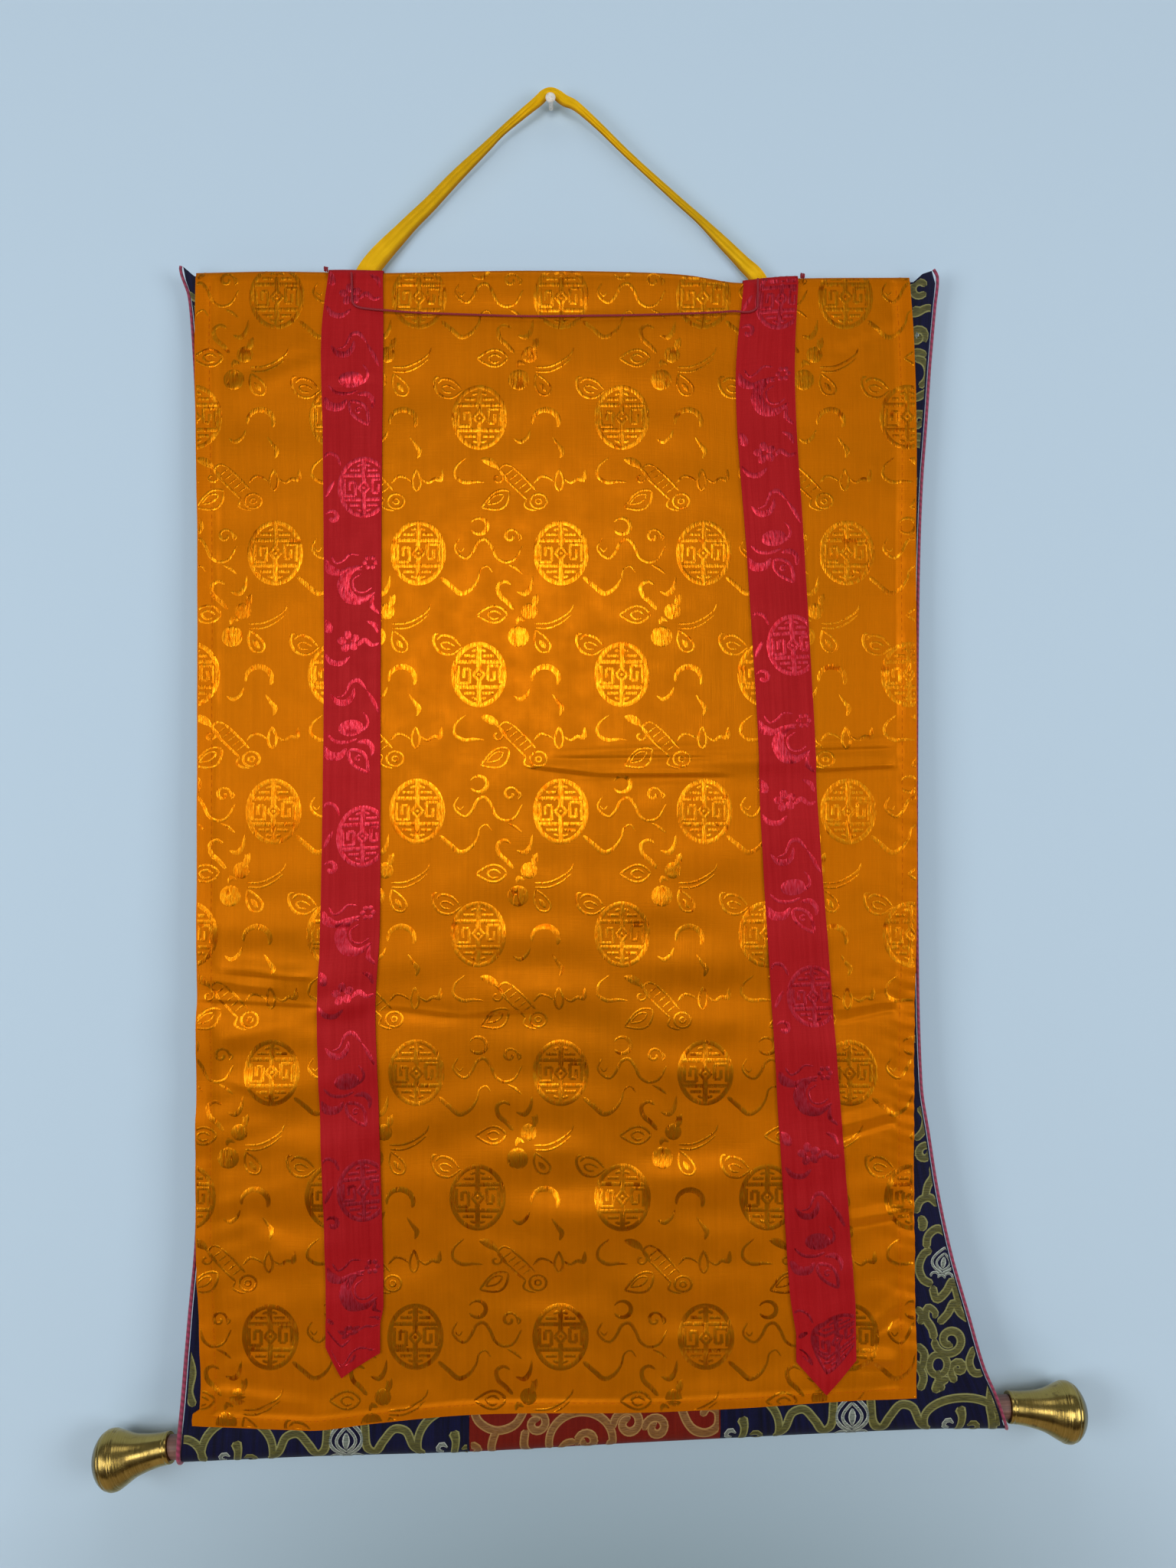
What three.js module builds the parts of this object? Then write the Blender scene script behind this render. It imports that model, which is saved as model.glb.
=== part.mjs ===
// A thangka scroll painting on a wall nail, with its silk veil let down in front of the picture.
// Millimetres, +Z up, +X to the viewer's right. The wall is the plane y = 0 and the viewer stands at
// negative y. A "depth" is a distance out from the wall, and a "drop" is a distance below the nail.
import * as THREE from "three";

const { clamp, lerp, smoothstep, degToRad } = THREE.MathUtils;

// ---------------------------------------------------------------- driving dimensions

const GAP = 0.3; // between pieces that touch

const NAIL = { shankRadius: 1.5, headRadius: 3.3, headFrom: 12, headTo: 14.2 };

// The wooden rod, from the neck of one knob to the neck of the other. Its right end hangs higher.
const ROD = { radius: 7.5, depth: 19, leftX: -246.6, leftDrop: 881.5, rightX: 297.5, rightDrop: 855.3 };

// How far each knob's axis points below the level.
const KNOB_DROOP = { left: 12.5, right: 5 };

// The knob's outline, from its neck to the crown of its domed end.
const KNOB_OUTLINE = [
  { along: 0, radius: 9.5 },
  { along: 1.2, radius: 9.9 },
  { along: 4, radius: 9.8 },
  { along: 10, radius: 10.2 },
  { along: 17, radius: 11.3 },
  { along: 24, radius: 13.1 },
  { along: 30, radius: 15.9 },
  { along: 35, radius: 18.2 },
  { along: 37.5, radius: 18.7 },
  { along: 40, radius: 18.5 },
  { along: 43.5, radius: 16.6 },
  { along: 47, radius: 12.4 },
  { along: 49.4, radius: 6.8 },
  { along: 50.4, radius: 0 },
];

// Cloth thicknesses, and how deep each cloth lies.
const MOUNT = { thick: 1, topDepth: 9, wrapRadius: 8.3, wrapAngle: 318 };
const VEIL = { thick: 1, hemThick: 1.8, sideHem: 11, footHem: 7.5, outFromMount: 3.2, backDepth: 7 };
const RIBBON = { thick: 1, outFromVeil: 1.9, lastVeilRow: 0.9 };
const EAR = { curl: 2.5, reach: 5, length: 18 };

// The mount's side edges, waisted in the middle and flared at the foot.
const MOUNT_EDGES = [
  { drop: 111, left: -237.5, right: 249.5 },
  { drop: 118, left: -241.5, right: 252.7 },
  { drop: 137, left: -235.8, right: 251.2 },
  { drop: 174, left: -232.5, right: 247.9 },
  { drop: 212, left: -230.6, right: 245 },
  { drop: 250, left: -229.5, right: 241.8 },
  { drop: 303, left: -227.5, right: 239.5 },
  { drop: 390, left: -225, right: 237.9 },
  { drop: 540, left: -223.5, right: 236.9 },
  { drop: 640, left: -224.5, right: 238.8 },
  { drop: 675, left: -225.2, right: 243.5 },
  { drop: 712, left: -226, right: 249 },
  { drop: 752, left: -227.2, right: 257.3 },
  { drop: 790, left: -230.3, right: 267.8 },
  { drop: 826, left: -232.9, right: 278 },
  { drop: 845, left: -234.2, right: 286 },
  { drop: 861, left: -235.6, right: 291.5 },
  { drop: 871, left: -236.5, right: 295.5 },
  { drop: 892, left: -237.5, right: 296 },
];

// How far the sleeve sags under the rod.
const SLEEVE_SAG = [
  { x: -240, sag: 0 },
  { x: -150, sag: 0.5 },
  { x: -50, sag: 2.5 },
  { x: 60, sag: 1.8 },
  { x: 240, sag: 2 },
  { x: 299, sag: 4.5 },
];

// The red door panel set into the foot of the mount.
const DOOR = { left: -52, right: 110, height: 80 };

const PIPING = { radius: 1, footRadius: { left: 1.4, right: 1 }, footFrom: 700, gap: 0.4, lastRow: 1.3 };

// The veil's outline. Its sides lean a little, and its hem juts out at the lower left corner.
const VEIL_SIDES = [
  { drop: 113, left: -232.6, right: 235.1 },
  { drop: 160, left: -233.1, right: 238.1 },
  { drop: 225, left: -231.8, right: 239.4 },
  { drop: 290, left: -230.3, right: 238.5 },
  { drop: 390, left: -229.5, right: 238.3 },
  { drop: 540, left: -228.8, right: 237.3 },
  { drop: 596, left: -228.4, right: 235.5 },
  { drop: 690, left: -228.2, right: 234.4 },
  { drop: 745, left: -227.7, right: 234.4 },
  { drop: 810, left: -224.7, right: 235 },
  { drop: 851.5, left: -224.3, right: 235.3 },
  { drop: 854, left: -228.7, right: 235.3 },
  { drop: 865, left: -228.7, right: 235.3 },
];
const VEIL_TOP = [
  { x: -232.6, drop: 114.1 },
  { x: -185, drop: 113.1 },
  { x: -145, drop: 113.6 },
  { x: -110, drop: 114.1 },
  { x: -60, drop: 113.1 },
  { x: -10, drop: 112.5 },
  { x: 58, drop: 113.6 },
  { x: 91, drop: 115.6 },
  { x: 122, drop: 120.5 },
  { x: 143, drop: 119 },
  { x: 163, drop: 117.6 },
  { x: 235, drop: 117.1 },
];
const VEIL_FOOT = [
  { x: -228.7, drop: 861.5 },
  { x: -166, drop: 864 },
  { x: -146, drop: 864 },
  { x: -111, drop: 859.6 },
  { x: -51.5, drop: 854.3 },
  { x: 50, drop: 853.1 },
  { x: 108, drop: 850.4 },
  { x: 175, drop: 846.5 },
  { x: 236, drop: 844.1 },
];

// The veil's creases and swells: each runs from one end to the other, with a half width, and stands
// out towards the viewer, or in towards the mount where "out" is negative.
const FOLDS = [
  { x: -110, drop: 141, toX: 122, toDrop: 142, half: 8, out: -1 },
  { x: -205, drop: 190, toX: -150, toDrop: 172, half: 9, out: 1.2 },
  { x: -2, drop: 436, toX: 223, toDrop: 426, half: 5, out: 2 },
  { x: -2, drop: 445, toX: 223, toDrop: 437, half: 5, out: -2 },
  { x: -210, drop: 568, toX: -149, toDrop: 575, half: 6, out: 1.6 },
  { x: -222, drop: 589, toX: -162, toDrop: 592, half: 6, out: -1.8 },
  { x: -152, drop: 597, toX: -113, toDrop: 590, half: 6, out: 2 },
  { x: -112, drop: 593, toX: -55, toDrop: 599, half: 6, out: -1.6 },
  { x: 190, drop: 596, toX: 224, toDrop: 587, half: 6, out: -2.2 },
  { x: 60, drop: 612, toX: 150, toDrop: 606, half: 16, out: 1.8 },
  { x: 186, drop: 670, toX: 224, toDrop: 658, half: 7, out: -2.2 },
  { x: 20, drop: 672, toX: 130, toDrop: 668, half: 18, out: -1.6 },
  { x: -219, drop: 712, toX: -164, toDrop: 757, half: 8, out: 1.4 },
  { x: 200, drop: 733, toX: 226, toDrop: 722, half: 7, out: -2 },
  { x: -60, drop: 745, toX: 90, toDrop: 738, half: 20, out: 1.8 },
  { x: 198, drop: 784, toX: 230, toDrop: 775, half: 7, out: -1.8 },
  { x: -215, drop: 834, toX: -140, toDrop: 845, half: 10, out: -1.8 },
];

// Rows of the veil's grid lie this far apart, and closer across the pressed creases.
const VEIL_ROW_STEP = 31;
const VEIL_FINE_ROWS = [
  { from: 422, to: 452, step: 5 },
  { from: 562, to: 606, step: 6 },
  { from: 652, to: 678, step: 7 },
];

// Each ribbon's edges, and its pointed end: two shoulders and a tip.
const RIBBON_LEFT = {
  edges: [
    { drop: 113, left: -144.9, right: -109.8 },
    { drop: 156, left: -149.7, right: -109.3 },
    { drop: 231, left: -148.3, right: -109.8 },
    { drop: 389, left: -146.9, right: -110.1 },
    { drop: 547, left: -148.5, right: -110 },
    { drop: 596, left: -150.3, right: -112.7 },
    { drop: 636, left: -149.1, right: -111.1 },
    { drop: 782, left: -143.3, right: -106.5 },
    { drop: 815, left: -143.7, right: -108.6 },
  ],
  shoulders: { left: 811.3, right: 814.7 },
  tip: { x: -133.3, drop: 830.7 },
};
const RIBBON_RIGHT = {
  edges: [
    { drop: 117, left: 126.9, right: 162.5 },
    { drop: 188, left: 121.1, right: 159.7 },
    { drop: 304, left: 128.3, right: 165.7 },
    { drop: 418, left: 134.9, right: 171.6 },
    { drop: 468, left: 136.2, right: 173.4 },
    { drop: 611, left: 144.1, right: 183.6 },
    { drop: 782, left: 154.2, right: 195.5 },
    { drop: 820, left: 158, right: 196.3 },
  ],
  shoulders: { left: 820.5, right: 819 },
  tip: { x: 177, drop: 840.9 },
};

// How a hung cloth goes over the top of the mount, from its back end to its front: a height from the
// fold line, how far back it lies as a share of the way from its front to its back, and the share of
// its distance from the veil that an outer cloth rises above the veil there.
const OVER_TOP = [
  { row: -1, up: -16, back: 1, over: 0 },
  { row: -0.8, up: -4, back: 1, over: 0 },
  { row: -0.6, up: -1, back: 0.86, over: 0.7 },
  { row: -0.4, up: 0, back: 0.5, over: 1 },
  { row: -0.2, up: -1, back: 0.14, over: 0.7 },
  { row: 0, up: -4, back: 0, over: 0 },
];

// The hanging loop's ribbon: the middle of its route, its width and thickness, and how far it is
// twisted from facing the viewer, in degrees.
const LOOP = [
  { x: -128, drop: 134, depth: 3.3, width: 15, thick: 1.2, twist: 0 },
  { x: -121.5, drop: 110, depth: 3.3, width: 14.5, thick: 1.2, twist: 0 },
  { x: -97, drop: 82.5, depth: 4.3, width: 13.5, thick: 1.2, twist: 38 },
  { x: -80, drop: 66, depth: 5, width: 13, thick: 1.2, twist: 48 },
  { x: -62.5, drop: 48, depth: 5.8, width: 12, thick: 1.2, twist: 52 },
  { x: -43.5, drop: 30, depth: 6.8, width: 10, thick: 1.3, twist: 60 },
  { x: -32, drop: 19, depth: 7.4, width: 8.5, thick: 1.4, twist: 62 },
  { x: -18, drop: 7.5, depth: 8, width: 7.6, thick: 1.8, twist: 40 },
  { x: -8.6, drop: 0.4, depth: 8.6, width: 7.2, thick: 2.4, twist: 15 },
  { x: -3.9, drop: -3.9, depth: 8.8, width: 6.8, thick: 2.8, twist: 0 },
  { x: 0, drop: -5.4, depth: 8.8, width: 6.4, thick: 3, twist: 0 },
  { x: 3.9, drop: -3.9, depth: 8.8, width: 6.8, thick: 2.8, twist: 0 },
  { x: 9.2, drop: -0.2, depth: 8.6, width: 7.8, thick: 2.2, twist: 10 },
  { x: 17, drop: 3.4, depth: 8.2, width: 8, thick: 1.8, twist: 20 },
  { x: 31.5, drop: 15.6, depth: 7.5, width: 8.5, thick: 1.5, twist: 46 },
  { x: 52, drop: 35, depth: 6.5, width: 9, thick: 1.4, twist: 54 },
  { x: 83, drop: 62.5, depth: 5.2, width: 10.5, thick: 1.3, twist: 63 },
  { x: 98.5, drop: 76, depth: 4.6, width: 11, thick: 1.2, twist: 65 },
  { x: 114, drop: 91, depth: 4, width: 11.5, thick: 1.2, twist: 48 },
  { x: 127, drop: 104, depth: 3.6, width: 12, thick: 1.2, twist: 36 },
  { x: 138, drop: 116, depth: 3.3, width: 12, thick: 1.2, twist: 10 },
  { x: 146, drop: 138, depth: 3.3, width: 12, thick: 1.2, twist: 0 },
];

// The string's route, from the top of the left ribbon across the veil to the top of the right one.
const STRING = { diameter: 1.5, steps: 80, sides: 8 };
const STRING_ROUTE = [
  { x: -129.9, drop: 116, depth: 15.7 },
  { x: -129.6, drop: 124, depth: 15.9 },
  { x: -129.5, drop: 131, depth: 16 },
  { x: -128.9, drop: 136, depth: 16.1 },
  { x: -125.5, drop: 138.8, depth: 16.2 },
  { x: -117, drop: 140.2, depth: 16.2 },
  { x: -106, drop: 141, depth: 16 },
  { x: -92, drop: 141.7, depth: 14.9 },
  { x: -60, drop: 142.9, depth: 14.6 },
  { x: -19, drop: 144.1, depth: 14.6 },
  { x: 20, drop: 143.9, depth: 14.6 },
  { x: 58, drop: 143.4, depth: 14.6 },
  { x: 95, drop: 142.3, depth: 14.8 },
  { x: 112, drop: 141.8, depth: 15.6 },
  { x: 120, drop: 141.6, depth: 16.2 },
  { x: 130, drop: 142, depth: 16.3 },
  { x: 134.6, drop: 139.5, depth: 16.3 },
  { x: 135.4, drop: 134, depth: 16.2 },
  { x: 135.5, drop: 127, depth: 16.1 },
  { x: 135.5, drop: 120, depth: 16 },
];

const KNOT = { radius: 1.6, rounds: 1 };
const KNOTS = [
  { side: "left", x: -146.9, drop: 113.5, depth: 14.8 },
  { side: "right", x: 164.6, drop: 117.8, depth: 14.8 },
];

// ---------------------------------------------------------------- materials

const navyBrocade = cloth("navyBrocade", 0x17183f, 0.65);
const redBrocade = cloth("redBrocade", 0x8f2418, 0.65);
const crimsonPiping = cloth("crimsonPiping", 0x8a2a45, 0.7);
const orangeSilk = cloth("orangeSilk", 0xc46a00, 0.5);
const redSilk = cloth("redSilk", 0xa5161f, 0.5);
const goldRibbon = cloth("goldRibbon", 0xd09a00, 0.5);
const crimsonThread = cloth("crimsonThread", 0x8c1f33, 0.8);
const wood = cloth("wood", 0x7a5547, 0.6);
const brass = new THREE.MeshStandardMaterial({ name: "brass", color: 0xa8843a, roughness: 0.3, metalness: 1 });
const paintedHead = cloth("paintedHead", 0xe6e2dd, 0.4);

function cloth(name, color, roughness) {
  return new THREE.MeshStandardMaterial({ name, color, roughness, metalness: 0 });
}

// ---------------------------------------------------------------- tables, and shapes common to all

/** A column's value at a place between the rows of a table, on a smooth curve through them. */
function read(rows, key, column, at) {
  const last = rows.length - 1;
  const place = clamp(at, rows[0][key], rows[last][key]);
  let i = 0;
  while (i < last - 1 && rows[i + 1][key] < place) i += 1;
  const slope = (a, b) => (rows[b][column] - rows[a][column]) / (rows[b][key] - rows[a][key]);
  const span = rows[i + 1][key] - rows[i][key];
  const t = (place - rows[i][key]) / span;
  const startSlope = slope(Math.max(i - 1, 0), i + 1) * span;
  const endSlope = slope(i, Math.min(i + 2, last)) * span;
  const [start, end] = [rows[i][column], rows[i + 1][column]];
  return (
    (2 * t ** 3 - 3 * t ** 2 + 1) * start +
    (t ** 3 - 2 * t ** 2 + t) * startSlope +
    (3 * t ** 2 - 2 * t ** 3) * end +
    (t ** 3 - t ** 2) * endSlope
  );
}

/** A column's value between the rows of a table, in straight steps. */
function linear(rows, key, column, place) {
  const i = clamp(rows.findIndex((row) => row[key] >= place) - 1, 0, rows.length - 2);
  const share = (place - rows[i][key]) / (rows[i + 1][key] - rows[i][key]);
  return lerp(rows[i][column], rows[i + 1][column], clamp(share, 0, 1));
}

/** Numbers from one value to another, both included, in even steps. */
function evenly(from, to, steps) {
  return Array.from({ length: steps + 1 }, (_, i) => lerp(from, to, i / steps));
}

/** A point from how far right, how deep and how far down it is. */
function at(x, depth, drop) {
  return new THREE.Vector3(x, -depth, -drop);
}

/** A closed geometry from points and triangles of their indices. */
function solid(points, triangles) {
  const geometry = new THREE.BufferGeometry().setFromPoints(points);
  geometry.setIndex(triangles.flat());
  geometry.computeVertexNormals();
  return geometry;
}

/**
 * A sheet of cloth. middle(column, row) is the point of its middle surface at a place in the columns,
 * which go right, and in the rows, which go down the front. thick(column, row) is its thickness there,
 * and has(i, j) says whether the cell right of column i and below row j is cloth.
 */
function sheet({ columns, rows, middle, thick, has = () => true }) {
  const NUDGE = 1e-3;
  const points = [];
  for (const side of [0.5, -0.5]) {
    for (const row of rows) {
      for (const column of columns) {
        const here = middle(column, row);
        const right = middle(column + NUDGE, row).sub(middle(column - NUDGE, row));
        const down = middle(column, row + NUDGE).sub(middle(column, row - NUDGE));
        const outward = down.cross(right).normalize();
        points.push(here.addScaledVector(outward, side * thick(column, row)));
      }
    }
  }
  const wide = columns.length;
  const back = wide * rows.length;
  const isCloth = (i, j) => i >= 0 && j >= 0 && i < wide - 1 && j < rows.length - 1 && has(i, j);
  const triangles = [];
  for (let j = 0; j < rows.length - 1; j += 1) {
    for (let i = 0; i < wide - 1; i += 1) {
      if (!isCloth(i, j)) continue;
      const corner = j * wide + i;
      const [a, b, c, d] = [corner, corner + 1, corner + wide + 1, corner + wide];
      triangles.push([a, d, c], [a, c, b], [a + back, c + back, d + back], [a + back, b + back, c + back]);
      const edges = [
        { from: a, to: d, beyond: [i - 1, j] },
        { from: d, to: c, beyond: [i, j + 1] },
        { from: c, to: b, beyond: [i + 1, j] },
        { from: b, to: a, beyond: [i, j - 1] },
      ];
      for (const { from, to, beyond } of edges) {
        if (!isCloth(...beyond)) triangles.push([to, from, from + back], [to, from + back, to + back]);
      }
    }
  }
  return compact(points, triangles);
}

/** The solid of some triangles, without the points that none of them uses. */
function compact(points, triangles) {
  const used = [...new Set(triangles.flat())];
  const place = new Map(used.map((old, now) => [old, now]));
  return solid(
    used.map((old) => points[old]),
    triangles.map((corners) => corners.map((old) => place.get(old))),
  );
}

/** A strip or cord swept through stations, each with a middle and the two half widths of its section. */
function swept(stations, section) {
  const sides = section.length;
  const points = stations.flatMap(({ middle, across, through }) =>
    section.map(([a, b]) => middle.clone().addScaledVector(across, a).addScaledVector(through, b)),
  );
  const triangles = [];
  for (let s = 0; s < stations.length - 1; s += 1) {
    for (let k = 0; k < sides; k += 1) {
      const next = (k + 1) % sides;
      const [a, b] = [s * sides + k, s * sides + next];
      triangles.push([a, b, b + sides], [a, b + sides, a + sides]);
    }
  }
  const end = (stations.length - 1) * sides;
  for (let k = 1; k < sides - 1; k += 1) triangles.push([0, k + 1, k], [end, end + k, end + k + 1]);
  return solid(points, triangles);
}

const RECTANGLE = [
  [-1, -1],
  [1, -1],
  [1, 1],
  [-1, 1],
];

/** A round section of so many sides. */
function roundSection(sides) {
  return evenly(0, 2 * Math.PI, sides)
    .slice(1)
    .map((angle) => [Math.cos(angle), Math.sin(angle)]);
}

// ---------------------------------------------------------------- where the cloths hang

const rodDropAt = (x) =>
  lerp(ROD.leftDrop, ROD.rightDrop, (x - ROD.leftX) / (ROD.rightX - ROD.leftX));

/** The top edge of the mount: under the veil's fold, and up to the two ears beside it. */
function mountTopDrop(x) {
  const underVeil = read(VEIL_TOP, "x", "drop", x) + 3.2;
  const leftEar = smoothstep(-x, 233.4, 237.5);
  const rightEar = smoothstep(x, 237, 248);
  return lerp(lerp(underVeil, 110.5, leftEar), 113, rightEar);
}

/** The mount's middle surface. Rows 0 to 1 go down the sheet, and 1 to 2 go round the rod. */
function mountPoint(x, row) {
  const drop = rodDropAt(x);
  const radius = MOUNT.wrapRadius;
  const frontDepth = ROD.depth + radius;
  if (row > 1) {
    const angle = degToRad((row - 1) * MOUNT.wrapAngle);
    const sag = read(SLEEVE_SAG, "x", "sag", x) * Math.max(0, Math.sin(angle));
    return at(x, ROD.depth + radius * Math.cos(angle), drop + radius * Math.sin(angle) + sag);
  }
  const topDrop = mountTopDrop(x);
  const here = lerp(topDrop, drop, row);
  const fromEdge = Math.min(x - MOUNT_EDGES[1].left, MOUNT_EDGES[1].right - x);
  const curl = EAR.curl * Math.exp(-fromEdge / EAR.reach) * Math.exp(-(here - topDrop) / EAR.length);
  return at(x, lerp(MOUNT.topDepth, frontDepth, row) + curl, here);
}

/** Where a side edge of the mount is at a row. */
function mountEdgeX(side, row) {
  const nominal = MOUNT_EDGES.at(-4)[side];
  return read(MOUNT_EDGES, "drop", side, -mountPoint(nominal, row).z);
}

/** Columns 0 to 1 cross the mount left of the door panel, 1 to 2 the door's width, and 2 to 3 the rest. */
function mountMiddle(column, row) {
  const left = mountEdgeX("left", row);
  const right = mountEdgeX("right", row);
  let x = lerp(DOOR.left, DOOR.right, column - 1);
  if (column < 1) x = lerp(left, DOOR.left, column);
  if (column > 2) x = lerp(DOOR.right, right, column - 2);
  return mountPoint(x, row);
}

/** How far the veil's folds stand out at a place. */
function foldHeight(x, drop) {
  return FOLDS.reduce((height, fold) => {
    const run = new THREE.Vector2(fold.toX - fold.x, fold.toDrop - fold.drop);
    const from = new THREE.Vector2(x - fold.x, drop - fold.drop);
    const share = clamp(from.dot(run) / run.lengthSq(), 0, 1);
    const away = from.distanceTo(run.multiplyScalar(share)) / fold.half;
    return height + fold.out * Math.exp(-away * away) * (0.35 + 0.65 * Math.sin(Math.PI * share));
  }, 0);
}

const veilTopDrop = (x) => read(VEIL_TOP, "x", "drop", x);
const veilFootDrop = (x) => read(VEIL_FOOT, "x", "drop", x);

/** The depth of the veil's middle surface in front of the mount. */
function veilDepth(x, drop) {
  const share = (drop - veilTopDrop(x)) / (rodDropAt(x) - veilTopDrop(x));
  const mountDepth = lerp(MOUNT.topDepth, ROD.depth + MOUNT.wrapRadius, clamp(share, 0, 1));
  return mountDepth + VEIL.outFromMount + foldHeight(x, drop);
}

/**
 * A cloth that hangs in front of the mount and is folded over its top. Rows -1 to 0 go over the top,
 * and rows 0 to 1 go down the front of the veil. It lies so far out from the veil's middle surface.
 */
function hungPoint(x, row, out) {
  const top = veilTopDrop(x);
  if (row >= 0) {
    const drop = lerp(top - OVER_TOP.at(-1).up, veilFootDrop(x), row);
    return at(x, veilDepth(x, drop) + out, drop);
  }
  const step = (column) => linear(OVER_TOP, "row", column, row);
  const depth = lerp(veilDepth(x, top) + out, VEIL.backDepth - out, step("back"));
  return at(x, depth, top - step("up") - out * step("over"));
}

/** The veil, by columns from 0 at its left edge to 1 at its right edge. */
function veilMiddle(column, row) {
  const side = (name, x) => read(VEIL_SIDES, "drop", name, -hungPoint(x, Math.max(row, 0), 0).z);
  const left = side("left", VEIL_FOOT[0].x);
  const right = side("right", VEIL_FOOT.at(-1).x);
  return hungPoint(lerp(left, right, column), row, 0);
}

/** Where across a ribbon its point is. */
function tipColumnOf({ edges, tip }) {
  const foot = edges.at(-1);
  return (tip.x - foot.left) / (foot.right - foot.left);
}

/** A ribbon, by columns from 0 to 1 across it, on the veil's own rows down to its pointed foot at row 1. */
function ribbonMiddle(ribbon, column, row) {
  const { edges, shoulders, tip } = ribbon;
  const front = (x) => veilTopDrop(x) - OVER_TOP.at(-1).up;
  const middleX = (edges[0].left + edges[0].right) / 2;
  const drop = lerp(front(middleX), veilFootDrop(middleX), Math.max(row, 0));
  const x = lerp(read(edges, "drop", "left", drop), read(edges, "drop", "right", drop), column);
  const tipColumn = tipColumnOf(ribbon);
  const towardsTip = column < tipColumn ? column / tipColumn : (1 - column) / (1 - tipColumn);
  const footDrop = lerp(lerp(shoulders.left, shoulders.right, column), tip.drop, towardsTip);
  const footRow = (footDrop - front(x)) / (veilFootDrop(x) - front(x));
  const share = Math.max(row - RIBBON.lastVeilRow, 0) / (1 - RIBBON.lastVeilRow);
  return hungPoint(x, lerp(Math.min(row, RIBBON.lastVeilRow), footRow, share), RIBBON.outFromVeil);
}

// ---------------------------------------------------------------- the pieces

const scroll = new THREE.Group();

function add(name, geometry, material, parent = scroll) {
  const mesh = new THREE.Mesh(geometry, material);
  mesh.name = name;
  parent.add(mesh);
  return mesh;
}

const MOUNT_LENGTH = rodDropAt(0) - mountTopDrop(0);
const DOOR_ROW = 1 - DOOR.height / MOUNT_LENGTH;

/** The mount's rows, from its top edge to the top of the door panel and on round the rod. */
const MOUNT_ROWS = {
  upper: [0, 0.01, 0.03, 0.06, 0.1, 0.15, 0.22, ...evenly(0.3, 0.84, 7)],
  foot: [...evenly(DOOR_ROW, 1, 3), ...evenly(1, 2, 14).slice(1)],
};

function addMountAndDoor() {
  const slit = GAP / (DOOR.right - DOOR.left);
  const columns = [0, 0.025, 0.06, 0.12, 0.3, 0.5, 0.75, 1, 1.5, 2, 2.25, 2.5, 2.7, 2.88, 2.94, 2.975, 3];
  const rows = [...MOUNT_ROWS.upper, ...MOUNT_ROWS.foot];
  const thick = () => MOUNT.thick;
  const isDoor = (i, j) => columns[i] >= 1 && columns[i] < 2 && rows[j] >= DOOR_ROW;
  const mount = sheet({ columns, rows, middle: mountMiddle, thick, has: (i, j) => !isDoor(i, j) });
  add("brocade_mount", mount, navyBrocade);
  const doorColumns = evenly(1 + slit, 2 - slit, 4);
  const doorRows = [DOOR_ROW + GAP / MOUNT_LENGTH, ...MOUNT_ROWS.foot.slice(1)];
  add("door_panel", sheet({ columns: doorColumns, rows: doorRows, middle: mountMiddle, thick }), redBrocade);
}

/** The crimson edging that runs down a side of the mount and round the front of the sleeve's end. */
function addPiping(side) {
  const outward = side === "left" ? -1 : 1;
  const rows = [...MOUNT_ROWS.upper, ...MOUNT_ROWS.foot].filter((row) => row < PIPING.lastRow);
  const edge = rows.map((row) => mountMiddle(side === "left" ? 0 : 3, row));
  const stations = edge.map((point, i) => {
    const footShare = smoothstep(-point.z, PIPING.footFrom, ROD.leftDrop);
    const radius = lerp(PIPING.radius, PIPING.footRadius[side], footShare);
    const [before, after] = [edge[Math.max(i - 1, 0)], edge[Math.min(i + 1, edge.length - 1)]];
    const along = after.clone().sub(before).normalize();
    const across = new THREE.Vector3(1, 0, 0).addScaledVector(along, -along.x).normalize();
    const through = along.clone().cross(across);
    const middle = point.clone().addScaledVector(across, outward * (radius + PIPING.gap));
    return {
      middle: middle.addScaledVector(through, radius - MOUNT.thick / 2),
      across: across.multiplyScalar(radius),
      through: through.multiplyScalar(radius),
    };
  });
  add(`piping_${side}`, swept(stations, roundSection(8)), crimsonPiping);
}

/** The rows down the front of the veil, closer together where creases are pressed in. */
function veilRows() {
  const [start, foot] = [veilTopDrop(0) - OVER_TOP.at(-1).up, veilFootDrop(0)];
  const hemTop = foot - VEIL.footHem;
  const coarse = evenly(start, hemTop, Math.round((hemTop - start) / VEIL_ROW_STEP));
  const isFine = (drop) => VEIL_FINE_ROWS.some(({ from, to }) => drop > from - 3 && drop < to + 3);
  const fine = VEIL_FINE_ROWS.flatMap(({ from, to, step }) => evenly(from, to, Math.round((to - from) / step)));
  const drops = [...coarse.slice(0, -1).filter((drop) => !isFine(drop)), ...fine, hemTop - 1.5, hemTop, foot];
  return drops.sort((a, b) => a - b).map((drop) => (drop - start) / (foot - start));
}

function addVeil() {
  const hem = VEIL.sideHem / (VEIL_SIDES[0].right - VEIL_SIDES[0].left);
  const slope = hem / 6;
  const inner = evenly(hem + slope, 1 - hem - slope, 25);
  const columns = [0, hem, ...inner, 1 - hem, 1];
  const rows = [...OVER_TOP.slice(0, -1).map(({ row }) => row), ...veilRows()];
  const footHem = rows.at(-2);
  const isHem = (column, row) => column <= hem || column >= 1 - hem || row >= footHem;
  const thick = (column, row) => (row > 0 && isHem(column, row) ? VEIL.hemThick : VEIL.thick);
  add("veil", sheet({ columns, rows, middle: veilMiddle, thick }), orangeSilk);
}

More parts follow.
